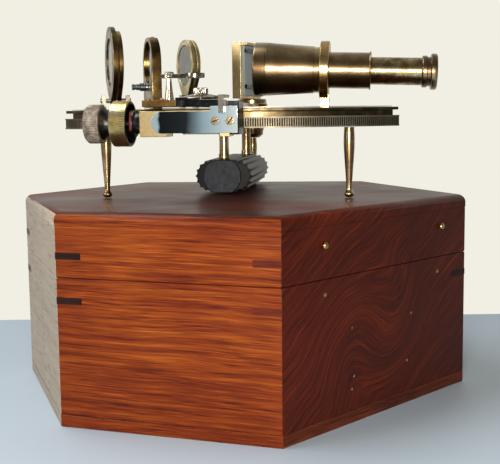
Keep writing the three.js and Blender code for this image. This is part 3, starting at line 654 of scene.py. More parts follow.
def plate(outlines, low, high, rounding=0.0, steps=2):
    """A flat plate with rounded edges. The first outline is its outside and the others are holes."""
    curve = bpy.data.curves.new("outline", "CURVE")
    curve.dimensions, curve.fill_mode = "2D", "BOTH"
    curve.extrude = (high - low) / 2 - rounding
    curve.bevel_depth, curve.bevel_resolution, curve.offset = rounding, steps, -rounding
    for points in outlines:
        line = curve.splines.new("POLY")
        line.points.add(len(points) - 1)
        for knot, point in zip(line.points, points):
            knot.co = (*point, 0, 1)
        line.use_cyclic_u = True
    holder = bpy.data.objects.new("outline", curve)
    solid = bpy.data.meshes.new_from_object(holder)
    shape = bmesh.new()
    shape.from_mesh(solid)
    bmesh.ops.remove_doubles(shape, verts=shape.verts, dist=1e-3)
    bmesh.ops.translate(shape, verts=shape.verts, vec=(0, 0, (low + high) / 2))
    bpy.data.objects.remove(holder)
    bpy.data.meshes.remove(solid)
    bpy.data.curves.remove(curve)
    return shape


def gather(*shapes):
    """Several shapes as one piece."""
    whole = bmesh.new()
    for shape in shapes:
        part = bpy.data.meshes.new("part")
        shape.to_mesh(part)
        shape.free()
        whole.from_mesh(part)
        bpy.data.meshes.remove(part)
    return whole


def moved(shape, place):
    """A shape carried by a frame."""
    shape.transform(place)
    return shape


def circle(radius, steps=48, middle=(0, 0)):
    """An outline all round a middle."""
    angles = [2 * math.pi * i / steps for i in range(steps)]
    return [(middle[0] + radius * math.cos(a), middle[1] + radius * math.sin(a)) for a in angles]


def rectangle(x0, x1, y0, y1):
    """An outline with four corners."""
    return [(x0, y0), (x1, y0), (x1, y1), (x0, y1)]


def on_arc(radius, angle):
    """A point at an angle, in degrees, from the limb's middle line."""
    return (radius * math.sin(math.radians(angle)), -radius * math.cos(math.radians(angle)))


def sector(inner, outer, half_angle, steps=80):
    """The outline of a strip that follows the limb."""
    angles = [half_angle * (1 - 2 * i / steps) for i in range(steps + 1)]
    return [on_arc(outer, -a) for a in angles] + [on_arc(inner, a) for a in angles]


dressed_copy("frame_casting", "sextant", aged_bronze, 0.3)

# ---- Limb rack: a hard brass ring cut all along with fine worm teeth between two plain rims ----
# The teeth are 1.5 mm apart, as the worm is; the crests are bright and the roots dark with grime and painted
# shade.
RACK_RADIUS = 168.5
RACK_INNER = 162.8
RACK_HALF_ANGLE = 41.2
TOOTH_PITCH = 1.5
TOOTH_DEPTH = 0.95
RACK_RIM = 0.9
rack_low, rack_high = 44.5, 51.4
# Cut brass with grease in it: greyer and duller than the frame, with pale crests. The roots are almost black
# and matt, grime with painted shade in them, which is what makes the teeth show.
rack_brass = metal_finish("hobbed_rack_brass", ("#4d473b", "#6f6858", "#8b8371", "#a8a08b"), 0.42, patch=25.0,
                          wear=0.4)
teeth = round(2 * math.radians(RACK_HALF_ANGLE) * RACK_RADIUS / TOOTH_PITCH)
pitch_angle = 2 * RACK_HALF_ANGLE / teeth
tooth_line = []
for i in range(teeth):
    start = -RACK_HALF_ANGLE + i * pitch_angle
    for share, depth in ((0.0, TOOTH_DEPTH), (0.3, TOOTH_DEPTH), (0.45, 0), (0.85, 0)):
        tooth_line.append(on_arc(RACK_RADIUS - depth, start + share * pitch_angle))
tooth_line.append(on_arc(RACK_RADIUS - TOOTH_DEPTH, RACK_HALF_ANGLE))
inner_line = [on_arc(RACK_INNER, RACK_HALF_ANGLE * (1 - 2 * i / 80)) for i in range(81)]
rims = sector(RACK_INNER, RACK_RADIUS, RACK_HALF_ANGLE, 160)
toothed = plate([tooth_line + inner_line], rack_low + RACK_RIM, rack_high - RACK_RIM)
# the faces in the tooth roots take the dark finish: grime and painted shade
for face in toothed.faces:
    depth = RACK_RADIUS - face.calc_center_median().xy.length
    face.material_index = int(TOOTH_DEPTH * 0.3 < depth < TOOTH_DEPTH * 1.5)
rack = gather(plate([rims], rack_low, rack_low + RACK_RIM), toothed,
              plate([rims], rack_high - RACK_RIM, rack_high))
made = show("toothed_rack", "sextant", rack, sextant, rack_brass, ("limb_rack",))
root_grime_and_shade = metal_finish("grime_and_painted_shade_in_tooth_roots", ("#15120d", "#1f1a13", "#2b251b", "#3a3327"), 0.7,
                          metallic=0.3)
made.data.materials.append(root_grime_and_shade)

# ---- Limb scale: a silver strip let into the limb, divided by hand and numbered in degrees ----
# The strip is rolled into a groove and rubbed flat, and its lines are filled with black wax.
SCALE_LOW, SCALE_HIGH = 57.0, 57.4
DIVISION_SUNK = 0.05
SCALE_INNER, SCALE_OUTER = 155.5, 164.5
SCALE_ZERO = 31.0
SCALE_END = 125
FIGURE_HEIGHT = 2.6
# Silver rubbed with charcoal: white, satin, with a faint yellow tarnish and no sharp reflection.
scale_silver, tree, shader = new_finish("satin_silver_scale")
place = add_node(tree, "ShaderNodeTexCoord")
spot = add_node(tree, "ShaderNodeMapping", {"Vector": place.outputs["Object"], "Scale": PER_MM})
cloud = add_node(tree, "ShaderNodeTexNoise", {"Vector": spot.outputs["Vector"], "Scale": 0.12, "Detail": 5.0})
tree.links.new(fade(tree, cloud.outputs["Fac"], (0.35, "#bab6ab"), (0.6, "#cfccc1")),
               shader.inputs["Base Color"])
shader.inputs["Metallic"].default_value = 1.0
shader.inputs["Roughness"].default_value = 0.38
# Wax and lamp black: matt, and browner where it has dried.
engraver_black, tree, shader = new_finish("black_wax_in_engraving")
grime = add_node(tree, "ShaderNodeTexNoise", {"Scale": 900.0, "Detail": 2.0})
tree.links.new(fade(tree, grime.outputs["Fac"], (0.3, "#141110"), (0.7, "#2c2620")),
               shader.inputs["Base Color"])
shader.inputs["Roughness"].default_value = 0.7
strip = plate([sector(SCALE_INNER, SCALE_OUTER, RACK_HALF_ANGLE - 1)], SCALE_LOW, SCALE_HIGH - DIVISION_SUNK,
              0.08)
show("silver_scale_strip", "sextant", strip, sextant, scale_silver, ("limb_scale",))


def digits(text, height, place):
    """Engraved figures, drawn flat and centred, facing their frame's Z."""
    letters = bpy.data.curves.new("figures", "FONT")
    letters.body, letters.size, letters.extrude = text, height, 0.02
    letters.align_x = letters.align_y = "CENTER"
    holder = bpy.data.objects.new("figures", letters)
    solid = bpy.data.meshes.new_from_object(holder)
    shape = bmesh.new()
    shape.from_mesh(solid)
    bpy.data.objects.remove(holder)
    bpy.data.meshes.remove(solid)
    shape.transform(place)
    return shape


marks = []
for degree in range(-5, SCALE_END + 1):
    angle = SCALE_ZERO - degree / 2
    long_mark = 5.0 if degree % 10 == 0 else 3.8 if degree % 5 == 0 else 2.4
    start = -SCALE_OUTER + 0.6
    cut = rectangle(-0.09, 0.09, start, start + long_mark)
    line = plate([cut], SCALE_HIGH - DIVISION_SUNK, SCALE_HIGH - 0.01)
    marks.append(moved(line, Matrix.Rotation(math.radians(angle), 4, "Z")))
    if degree % 10 == 0:
        under = Matrix.Translation((0, -SCALE_INNER - 1.9, SCALE_HIGH - 0.04))
        marks.append(digits(str(degree), FIGURE_HEIGHT, Matrix.Rotation(math.radians(angle), 4, "Z") @ under))
show("scale_divisions", "sextant", gather(*marks), sextant, engraver_black)

# ---- Legs: three turned bronze legs with small ball feet, screwed up into the frame ----
# Two stand under the ends of the limb. The third, and the bearing above it, are under the pivot.
LEG_REACH, LEG_SPREAD, LIMB_BOTTOM, BEARING_BOTTOM = 145.0, 79.3, 44.5, 35.0


def eased(points, steps=5):
    """A smooth line through the points of a profile."""
    line = []
    for i in range(len(points) - 1):
        a, b = Vector(points[max(i - 1, 0)]), Vector(points[i])
        c, d = Vector(points[i + 1]), Vector(points[min(i + 2, len(points) - 1)])
        for k in range(steps):
            t = k / steps
            spot = 2 * b + (c - a) * t + (2 * a - 5 * b + 4 * c - d) * t * t
            spot = 0.5 * (spot + (3 * b - a - 3 * c + d) * t ** 3)
            line.append((max(spot.x, 0.0), spot.y))
    return line + [tuple(points[-1])]


def leg_profile(height):
    """A ball foot, a thin waist and a shank that swells to its neck."""
    foot = [(0, 0), (1.6, 0.15), (2.8, 1.1), (3.1, 2.3), (2.6, 3.5), (2.0, 4.3)]
    shank = [(1.75, 5.2), (1.9, 9), (2.5, height * 0.4), (3.1, height * 0.6), (3.5, height * 0.78)]
    neck = [(3.4, height * 0.88), (3.2, height - 2), (3.2, height)]
    return eased(foot) + eased(shank + neck) + [(0, height)]


for name, spot, height in (
    ("left_leg", (1.2 - LEG_SPREAD, -LEG_REACH, 0), LIMB_BOTTOM - GAP),
    ("right_leg", (LEG_SPREAD, -LEG_REACH, 0), LIMB_BOTTOM - GAP),
    ("rear_leg", (0, 0, 0), BEARING_BOTTOM - GAP),
):
    leg = turned(leg_profile(height))
    show(name + "_turned", "sextant", leg, seat(sextant, spot), lacquered_bronze, (name,), 0.0)

bearing = turned([(0, 35), (5.6, 35), (6, 35.4), (8, 37), (8.4, 38), (8.4, 40), (9, 41), (9, 43.7),
                  (5.2, 43.7), (5.2, 39), (0, 39)])
show("pivot_bearing_turned", "sextant", bearing, sextant, lacquered_bronze, ("pivot_bearing",),
     0.2)

# ---- Handle: a black moulded grip, ribbed along both sides, on two turned bronze pillars ----
# Its front end has a smooth slate grey disc between two flats, with a dark relief round it.
GRIP_X, GRIP_Z = -5.3, 12.0
GRIP_NEAR, GRIP_FAR = -120.5, -13.0
GRIP_HALF_WIDTH, GRIP_HALF_HEIGHT = 19.5, 10.8
GRIP_RIBS = 8
GRIP_GROOVE = 1.25
grip_frame = seat(sextant, (GRIP_X, 0, GRIP_Z)) @ Matrix.Rotation(math.pi / 2, 4, "X")


def ebonite_finish(name, dark, pale, rough):
    """Hard rubber with a soft bloom and fine handling scratches."""
    made, tree, shader = new_finish(name)
    place = add_node(tree, "ShaderNodeTexCoord")
    spot = add_node(tree, "ShaderNodeMapping", {"Vector": place.outputs["Object"], "Scale": PER_MM})
    cloud = add_node(tree, "ShaderNodeTexNoise", {
        "Vector": spot.outputs["Vector"], "Scale": 0.35, "Detail": 6.0,
    })
    tree.links.new(fade(tree, cloud.outputs["Fac"], (0.3, dark), (0.72, pale)), shader.inputs["Base Color"])
    gloss = add_node(tree, "ShaderNodeMapRange", {
        "Value": cloud.outputs["Fac"], "To Min": rough + 0.1, "To Max": rough - 0.1,
    })
    tree.links.new(gloss.outputs["Result"], shader.inputs["Roughness"])
    shader.inputs["Specular IOR Level"].default_value = 0.12
    fine = add_node(tree, "ShaderNodeTexNoise", {
        "Vector": spot.outputs["Vector"], "Scale": 4.0, "Detail": 2.0,
    })
    bump = add_node(tree, "ShaderNodeBump", {
        "Height": fine.outputs["Fac"], "Strength": 0.1, "Distance": 0.0001,
    })
    tree.links.new(bump.outputs["Normal"], shader.inputs["Normal"])
    return made


# Moulded ebonite is black with a low sheen on its ribs. Turned across its end it is slate grey and matt.
grip_ebonite = ebonite_finish("moulded_ebonite", "#050607", "#0e0f11", 0.38)
cap_ebonite = ebonite_finish("turned_ebonite_end", "#1f2227", "#32353d", 0.5)


def grip_outline(radius, groove):
    """Flat above and below, half round at both sides, with grooves along the half rounds."""
    points = []
    steps = GRIP_RIBS * 8
    for side in (1, -1):
        for i in range(steps + 1):
            angle = side * (-math.pi / 2 + math.pi * i / steps)
            phase = (i / 8) % 1.0
            cut = groove * max(0.0, math.sin(math.pi * phase)) ** 0.6 if 0 < i < steps else 0.0
            across = GRIP_HALF_WIDTH - GRIP_HALF_HEIGHT + (radius - cut) * math.cos(angle)
            points.append((side * across, (radius - cut) * math.sin(angle)))
    return points


grip = gather(
    plate([grip_outline(GRIP_HALF_HEIGHT, GRIP_GROOVE)], -GRIP_FAR, -GRIP_NEAR - 3, 0.3),
    plate([grip_outline(GRIP_HALF_HEIGHT - 0.9, GRIP_GROOVE * 0.7)], -GRIP_NEAR - 3.2, -GRIP_NEAR - 0.4, 0.3),
)
show("ribbed_grip", "sextant", grip, grip_frame, grip_ebonite, ("handle_grip",))


def flatted_disc(radius, flat, steps=24):
    """The outline of a disc with a flat above and below."""
    lean = math.asin(flat / radius)
    arc = [-lean + 2 * lean * i / steps for i in range(steps + 1)]
    right = [(radius * math.cos(a), radius * math.sin(a)) for a in arc]
    return right + [(-x, -y) for x, y in right]


cap = plate([flatted_disc(12.4, GRIP_HALF_HEIGHT - 0.1)], -GRIP_NEAR + GAP, -GRIP_NEAR + 3.4, 0.5)
show("grip_end_disc", "sextant", cap, grip_frame, cap_ebonite, ("handle_front_cap",))

pillar = [(0, 23.1), (3.8, 23.1), (3.8, 25.6), (3.3, 26.6), (3.3, 44), (3.8, 45), (3.8, 46.7), (0, 46.7)]
for node, spot in (("handle_front_pillar", (-7.4, -100, 0)), ("handle_rear_pillar", (-1, -31, 0))):
    show(node + "_turned", "sextant", turned(pillar), seat(sextant, spot), lacquered_bronze,
         (node,), 0.2)
screw_end = turned([(0, 0.2), (1.2, 0.25), (2.0, 0.6), (2.2, 0.9), (0, 0.9)])
show("grip_screw", "sextant", screw_end, seat(sextant, (-7.4, -100, 0)), turned_brass,
     ("handle_screw",))

# ---- Index arm: a flat brass arm from the pivot to its windowed end plate over the limb ----
# It is cut from plate, slotted to lighten it, and clamped on a steel pin that turns in the bearing.
# Plate that has been handled is honey brown and fairly smooth.
arm_brass = metal_finish("aged_flat_brass", ("#5c4526", "#86683a", "#aa8a52", "#ccb07a"), 0.27)
ARM_LOW, ARM_HIGH, PLATE_HIGH = 58.0, 61.5, 62.3
PLATE_EDGES = (-31, 16, -174, -146)
PLATE_NOTCH = (-9, -165)
WINDOW_EDGES = (-6, 9, -162, -152)
BLADE = [(-6.5, -147), (6.5, -147), (8, 0), (-8, 0)]
BLADE_SLOT = [(-2.5, -135), (2.5, -135), (3.5, -30), (-3.5, -30)]
left, right, near, far = PLATE_EDGES
plate_line = [
    (left, near), (PLATE_NOTCH[0], near), PLATE_NOTCH, (right, PLATE_NOTCH[1]), (right, far), (left, far),
]
arm_shape = gather(
    plate([plate_line, rectangle(*WINDOW_EDGES)], ARM_LOW, PLATE_HIGH, 0.35),
    plate([BLADE, BLADE_SLOT], ARM_LOW + 0.02, ARM_HIGH, 0.3),
    turned([(0, ARM_LOW), (12, ARM_LOW), (12, ARM_HIGH), (0, ARM_HIGH)]),
)
show("index_arm_blade", "index_arm", arm_shape, arm, arm_brass, ("index_arm",))
# Polished steel is cool and mirror bright between spots of rust, and has rings where it is turned.
steel_finish = metal_finish("polished_steel", ("#6f767c", "#9aa4ab", "#bcc6cd", "#dbe3e8"), 0.12, patch=30.0,
                            wear=0.2, spots="#3a2c20")
turned_steel = metal_finish("turned_bright_steel", ("#6f767c", "#9aa4ab", "#bcc6cd", "#dbe3e8"), 0.2,
                            patch=20.0, wear=0.25, lines=0.7)
pin = turned([(0, 39.3), (4.2, 39.3), (4.3, 57.7), (0, 57.7)])
show("pivot_pin_turned", "index_arm", pin, arm, turned_steel, ("pivot_pin",), 0.2)
hub_plate = turned([(0, 61.8), (11.3, 61.8), (11.3, 64.2), (10.6, 65), (0, 65)])
show("pivot_plate_turned", "index_arm", hub_plate, arm, lacquered_bronze, ("pivot_plate",),
     0.1)

# ---- Index mirror: silvered glass in a pale gold brass box frame, held by two spring bars ----
# It stands over the pivot. Small screws on its top edge square it to the arc.
MIRROR_TURN = 165.8
MIRROR_LOW, MIRROR_HIGH, MIRROR_HALF = 65.3, 108.0, 21.5
MIRROR_FRONT, MIRROR_BACK = 7.8, -4.2
mirror_frame = seat(sextant, turn=MIRROR_TURN)
UPRIGHT_YZ = Matrix(((0, 0, 1, 0), (1, 0, 0, 0), (0, 1, 0, 0), (0, 0, 0, 1)))
# Thin gold lacquer over clean brass: pale, even, and softer than bare metal.
pale_brass = metal_finish("pale_gold_lacquered_brass", ("#a58a58", "#c9ae78", "#dcc694", "#ecdcb4"), 0.3,
                          patch=10.0, wear=0.25)
CHEEK_BACK = 0.6
box_frame = gather(plate([
    rectangle(-MIRROR_HALF, MIRROR_HALF, MIRROR_LOW, MIRROR_HIGH),
    rectangle(-MIRROR_HALF + 2.5, MIRROR_HALF - 2.5, MIRROR_LOW + 3.5, MIRROR_HIGH - 2),
], CHEEK_BACK, MIRROR_FRONT, 0.35), plate([
    rectangle(-MIRROR_HALF + 1, MIRROR_HALF - 1, MIRROR_HIGH - 2.2, MIRROR_HIGH - 0.2),
], MIRROR_BACK, CHEEK_BACK, 0.35))
show("index_mirror_box", "index_arm", box_frame, mirror_frame @ UPRIGHT_YZ, pale_brass,
     ("index_mirror_frame",))
backing = plate([rectangle(-19.5, 19.5, MIRROR_LOW + 2, MIRROR_HIGH - 2.4)], MIRROR_BACK + 2.2,
                CHEEK_BACK + 0.4, 0.3)
# Paint over the silvering keeps damp out. It is blue grey with a dull sheen and dust on it.
grey_paint, tree, shader = new_finish("grey_paint_on_mirror_back")
dust = add_node(tree, "ShaderNodeTexNoise", {"Scale": 400.0, "Detail": 4.0})
tree.links.new(fade(tree, dust.outputs["Fac"], (0.3, "#7c8888"), (0.7, "#98a3a2")),
               shader.inputs["Base Color"])
shader.inputs["Roughness"].default_value = 0.45
show("mirror_backing_plate", "index_arm", backing, mirror_frame @ UPRIGHT_YZ, grey_paint)
# Old silvering: a sharp reflection, a little grey, with a mist that spreads in clouds.
mirror_silver, tree, shader = new_finish("silvered_mirror_glass")
place = add_node(tree, "ShaderNodeTexCoord")
mist = add_node(tree, "ShaderNodeTexNoise", {
    "Vector": place.outputs["Object"], "Scale": 140.0, "Detail": 6.0,
})
tree.links.new(fade(tree, mist.outputs["Fac"], (0.3, "#a9b2b5"), (0.6, "#b9c2c4")),
               shader.inputs["Base Color"])
haze = add_node(tree, "ShaderNodeMapRange", {"Value": mist.outputs["Fac"], "To Min": 0.02, "To Max": 0.2})
tree.links.new(haze.outputs["Result"], shader.inputs["Roughness"])
shader.inputs["Metallic"].default_value = 1.0
pane = plate([rectangle(-18.7, 18.7, MIRROR_LOW + 3.8, MIRROR_HIGH - 2.3)], MIRROR_FRONT - 3.8,
             MIRROR_FRONT - 0.8, 0.2)
show("index_mirror_pane", "index_arm", pane, mirror_frame @ UPRIGHT_YZ, mirror_silver,
     ("index_mirror_glass",))
# Heat-blued steel: nearly black, with small bright glints.
dark_steel = metal_finish("blued_steel", ("#17181b", "#24262a", "#3a3d42", "#6a6e73"), 0.25, patch=12.0,
                          wear=0.2)
for height in (MIRROR_LOW + 9, MIRROR_HIGH - 6.5):
    bars = plate([rectangle(-20.5, 20.5, height - 1.5, height + 1.5)], MIRROR_BACK, MIRROR_BACK + 2.2, 0.3)
    show(f"mirror_spring_bar_{round(height)}", "index_arm", bars, mirror_frame @ UPRIGHT_YZ, dark_steel)
for i, y in enumerate((-17.5, -12.5, -8.5)):
    head = turned([(0, -1), (1.3, -1), (1.3, -0.1), (0.9, -0.02), (0, 0)], 24)
    show(f"mirror_top_screw_{i + 1}", "index_arm", head, seat(mirror_frame, (3.5, y, MIRROR_HIGH)),
         steel_finish)

# ---- Screws: cheese heads turned from bright rod, each with a sawn slot ----
# They are put where they are used below, by one function. The slot floors and the foot of each head are
# black: painted shade.
# Nickel is a warm white with broad glints, bare brass is paler than lacquered, and copper is pink brown.
bright_nickel = metal_finish("tarnished_bright_nickel", ("#8a8272", "#b3ab99", "#d2cbbb", "#ebe6da"), 0.2,
                             patch=6.0)
screw_brass = metal_finish("polished_screw_brass", ("#8d7b58", "#b5a27a", "#d3c39c", "#ebe2c6"), 0.2,
                           patch=5.0)
copper_finish = metal_finish("aged_copper_screw", ("#5a2f1d", "#8a4f33", "#b0714e", "#d29a78"), 0.25,
                             patch=5.0)


def show_screw(name, body, place, radius, height, finish, gap=0.5):
    """A screw head standing on its frame's XY plane: two halves beside a sawn slot, with painted shade in
    black on the slot's floor and round the head's foot.
    """
    reach = math.sqrt(radius ** 2 - (gap / 2) ** 2)
    lean = math.atan2(gap / 2, reach)
    arc = [lean + (math.pi - 2 * lean) * i / 16 for i in range(17)]
    half = [(radius * math.cos(a), radius * math.sin(a)) for a in arc]
    other = [(-x, -y) for x, y in half]
    floor = turned([(0, 0), (radius, 0), (radius, height * 0.45), (0, height * 0.45)], 32)
    # painted shade: the slot's floor and the foot of the head are black
    for face in floor.faces:
        face.material_index = 1
    rise = (height * 0.4, height, 0.12)
    made = show(name, body, gather(floor, plate([half], *rise), plate([other], *rise)), place, finish)
    made.data.materials.append(engraver_black)


def knurled(profile, ridges, depth, rows):
    """A turned piece, with straight knurling cut at the profile points listed in rows."""
    shape = turned(profile, ridges * 4)
    heights = [profile[row] for row in rows]
    for vert in shape.verts:
        radius = vert.co.xy.length
        if any(abs(radius - r) < 1e-3 and abs(vert.co.z - z) < 1e-3 for r, z in heights):
            turn = math.atan2(vert.co.y, vert.co.x) * ridges
            vert.co.xy *= (radius - depth * (0.5 + 0.5 * math.cos(turn))) / radius
    return shape


for i, (x, y) in enumerate(((-29.5, -172.5), (-20.5, -172.6))):
    spot = seat(arm, (x + 1, y + 3, PLATE_HIGH), 30)
    show_screw(f"end_plate_screw_{i + 1}", "index_arm", spot, 1.6, 0.9, copper_finish)

# ---- Magnifier: a small lens on an arm that turns on a tapered brass post ----
# It swings over the drum to read it. The arm is pinched to the post by a knurled nut.
POST = (-18.4, -157.5)
# Nickel plate that has dulled: dark and warm in patches, with bright edges.
dull_nickel = metal_finish("dulled_nickel_plate", ("#3f3a33", "#6a645a", "#97907f", "#c9c2b2"), 0.2,
                           patch=6.0, wear=0.5)
post_shape = turned(eased([(3.0, 62.6), (2.95, 63.4), (2.6, 66), (2.1, 70), (1.7, 75.6)]) + [(0, 75.6)])
bmesh.ops.contextual_create(post_shape, geom=[e for e in post_shape.edges if e.is_boundary])
show("magnifier_post_turned", "index_arm", post_shape, seat(arm, (*POST, 0)), bright_nickel,
     ("magnifier_post",), 0.0)
LENS_REACH = 17.0
magnifier = gather(
    plate([rectangle(-5, LENS_REACH - 5.4, -1.8, 1.8)], 76, 78.6, 0.4),
    moved(turned([(4.6, 75.9), (6.0, 75.9), (6.2, 76.3), (6.2, 78.5), (6.0, 78.9), (4.6, 78.9), (4.6, 75.9)]),
          Matrix.Translation((LENS_REACH, 0, 0))),
    knurled([(0, 76), (2.6, 76), (3.2, 76.4), (3.2, 79.4), (2.7, 80), (0, 80)], 22, 0.35, (2, 3)),
)
show("magnifier_arm_dressed", "magnifier", magnifier, seat(arm, (*POST, 0)), dull_nickel,
     ("magnifier_arm",), 0.1)
# Crown glass, ground and polished: clear, with a thin film that softens its reflections here and there.
crown_glass, tree, shader = new_finish("polished_crown_glass")
place = add_node(tree, "ShaderNodeTexCoord")
film = add_node(tree, "ShaderNodeTexNoise", {
    "Vector": place.outputs["Object"], "Scale": 200.0, "Detail": 4.0,
})
tree.links.new(fade(tree, film.outputs["Fac"], (0.3, "#dfe8e6"), (0.7, "#f4f8f7")),
               shader.inputs["Base Color"])
smear = add_node(tree, "ShaderNodeMapRange", {"Value": film.outputs["Fac"], "To Min": 0.01, "To Max": 0.09})
tree.links.new(smear.outputs["Result"], shader.inputs["Roughness"])
shader.inputs["Transmission Weight"].default_value = 1.0
shader.inputs["IOR"].default_value = 1.52
lens_place = seat(arm, (*POST, 0)) @ Matrix.Translation((LENS_REACH, 0, 0))
lens = turned([(0, 76.2), (2, 76.3), (4.2, 76.7), (4.3, 77.4), (4.2, 78.1), (2, 78.5), (0, 78.6)])
show("magnifier_lens_ground", "magnifier", lens, lens_place, crown_glass, ("magnifier_lens",),
     0.0, sharp=50)

# ---- Release: a domed disc with a knurled nut, and a curved steel lever down to the spring ----
# The thumb turns it, and the lever's tip pushes the carriage and its worm out of the rack.
RELEASE = (3, -160)
LEVER = [(0, 0), (9, -3), (16, -8), (20.2, -14), (20.6, -22), (20.5, -28)]
release_frame = seat(arm, (*RELEASE, 0))
disc = turned([(0, 62.7), (12.6, 62.7), (13, 63.1), (12.6, 63.7), (10, 64.7), (7, 65.5), (4.8, 65.9),
               (0, 66)])
nut = knurled([(0, 65.9), (4.0, 65.9), (4.6, 66.4), (4.6, 68.9), (3.9, 69.6), (2.2, 69.6), (1.6, 69.2),
               (0, 69.2)], 26, 0.4, (2, 3))
show("release_lever_disc", "release", disc, release_frame, dull_nickel, ("release_lever",),
     0.1)
show("release_knurled_nut", "release", nut, release_frame, bright_nickel, (), 0.0)


def ribbon(spots, half, low, high, rounding=0.3):
    """A flat strip of even width along a line of points."""
    left, right = [], []
    for i, spot in enumerate(spots):
        run = (Vector(spots[min(i + 1, len(spots) - 1)]) - Vector(spots[max(i - 1, 0)])).normalized()
        left.append((spot[0] - run.y * half, spot[1] + run.x * half))
        right.append((spot[0] + run.y * half, spot[1] - run.x * half))
    return plate([left + right[::-1]], low, high, rounding)


lever_strip = ribbon(eased(LEVER)[3:], 1.5, 63.1, 64.7)
lever_tip = plate([rectangle(19.0, 22.0, -30.6, -28.6)], 54, 64.7, 0.4)
show("release_lever_strip", "release", gather(lever_strip, lever_tip), release_frame, bright_nickel)
window_bracket = gather(
    plate([rectangle(-9.5, -2.5, -173.8, -170.5)], PLATE_HIGH + 0.1, PLATE_HIGH + 1.3, 0.3),
    plate([rectangle(-9.5, -7.9, -173.8, -165.2)], ARM_LOW + 0.3, PLATE_HIGH + 1.3, 0.3),
    plate([rectangle(-9.4, 15.8, -167, -165.2)], ARM_LOW + 0.3, PLATE_HIGH - 0.1, 0.3),
)
show("vernier_bracket", "index_arm", window_bracket, arm, dark_steel)

# ---- Worm carriage: a pale brass block that carries the worm, hinged at its right end ----
# It is milled from bar. The blackened sleeve screwed to its left end has the red mark that the
# drum is read against.
worm_place = seat(seat(arm, turn=WORM_TURN), (0, -177.5, 48))
dressed_copy("carriage_hinge_block", "index_arm", dark_steel, 0.4)
carriage = gather(
    plate([rectangle(-36, -19.5, -9.3, 6.5)], -8.1, 7.4, 0.35),
    plate([rectangle(13.6, 19.2, -9.3, 4)], -8.1, 7.4, 0.3),
    plate([rectangle(-20, 14, -9.3, -7.4)], -6, 7.4, 0.3),
)
show("worm_carriage_block", "carriage", carriage, worm_place, pale_brass, ("worm_carriage",))
sleeve = turned([(2.9, -43.6), (8.2, -43.6), (8.2, -41.2), (7.9, -40.9), (6.5, -40.7), (6.3, -40.4),
                 (6.3, -36.3), (2.9, -36.3), (2.9, -43.6)])
# Chemically blackened brass: charcoal grey, with brass showing through as small warm specks.
black_brass = metal_finish("blackened_turned_brass", ("#17181a", "#26272a", "#3d3e41", "#63615d"), 0.38,
                           patch=8.0, lines=0.5, spots="#8a7350")
show("index_sleeve_turned", "carriage", sleeve, worm_place @ ALONG_X, black_brass,
     ("index_sleeve",), 0.15)
# Red enamel worn thin: brick red between dark chips.
red_paint, tree, shader = new_finish("worn_red_enamel")
chips = add_node(tree, "ShaderNodeTexNoise", {"Scale": 700.0, "Detail": 3.0})
tree.links.new(fade(tree, chips.outputs["Fac"], (0.35, "#3c1410"), (0.6, "#9a3428")),
               shader.inputs["Base Color"])
shader.inputs["Roughness"].default_value = 0.45
MARK_RADIUS = 8.28
PAINT_THICKNESS = 0.00006
arc = [math.radians(200 + 4 * i) for i in range(26)]
stroke = bmesh.new()
rows = []
for x in (-43.1, -42.1):
    brushed = [(MARK_RADIUS * math.cos(a), MARK_RADIUS * math.sin(a), x + 0.5 * math.sin(3 * a)) for a in arc]
    rows.append([stroke.verts.new(spot) for spot in brushed])
for i in range(len(arc) - 1):
    stroke.faces.new((rows[0][i], rows[0][i + 1], rows[1][i + 1], rows[1][i]))
made = show("red_index_mark", "carriage", stroke, worm_place @ ALONG_X, red_paint)
thick = made.modifiers.new("paint_thickness", "SOLIDIFY")
thick.thickness = PAINT_THICKNESS
on_sleeve = worm_place @ Matrix.Translation((-38.3, -6.0, -2.6)) @ Matrix.Rotation(math.pi / 2 - 0.35, 4, "X")
show_screw("sleeve_screw", "carriage", on_sleeve, 1.2, 0.7, dark_steel)

# ---- Leaf spring: mirror polished steel across the carriage, held by two slotted screws ----
# It is sheared from strip, rounded at its left end and stepped up at its right.
SPRING_LOW, SPRING_TOP, SPRING_STEP, SPRING_RIGHT = -6.0, 7.0, 10.0, 24.5
sweep = [math.pi / 2 + math.pi * i / 20 for i in range(21)]
end_round = [(-22 + 6.5 * math.cos(a), 0.5 + 6.5 * math.sin(a)) for a in sweep]
spring_line = end_round + [
    (SPRING_RIGHT, SPRING_LOW), (SPRING_RIGHT, SPRING_STEP), (8, SPRING_STEP), (8, SPRING_TOP),
]
STAND = Matrix.Rotation(math.pi / 2, 4, "X")
spring = plate([spring_line], 0, 1.2, 0.25)
# Polished steel with its reflection painted into its colour: pale at its left tip, black over its left part,
# where it mirrors the dark drum, and pale ice blue to the right.
reflection_painted_steel, tree, shader = new_finish("steel_with_painted_reflection")
place = add_node(tree, "ShaderNodeTexCoord")
along = add_node(tree, "ShaderNodeSeparateXYZ", {"Vector": place.outputs["Generated"]})
ripple = add_node(tree, "ShaderNodeTexNoise", {
    "Vector": place.outputs["Generated"], "Scale": 3.0, "Detail": 3.0,
})
shift = add_node(tree, "ShaderNodeMapRange", {
    "Value": ripple.outputs["Fac"], "To Min": -0.03, "To Max": 0.03,
})
tinted = add_node(tree, "ShaderNodeMath", {
    0: along.outputs["X"], 1: shift.outputs["Result"],
}, operation="ADD")
# the painted reflection, from the spring's left end to its right
reflection_fade = fade(
    tree, tinted.outputs["Value"], (0.0, "#9db2bc"), (0.07, "#9db2bc"), (0.1, "#101216"), (0.4, "#1d2329"),
    (0.47, "#56656f"), (0.6, "#86a0ae"), (0.8, "#a9bec8"), (1.0, "#c3d0d3"),
)
tree.links.new(reflection_fade, shader.inputs["Base Color"])
shader.inputs["Metallic"].default_value = 0.45
shader.inputs["Roughness"].default_value = 0.16
show("polished_leaf_spring", "carriage", spring, worm_place @ Matrix.Translation((0, -9.6, 0)) @ STAND,
     reflection_painted_steel, ("carriage_leaf_spring",))
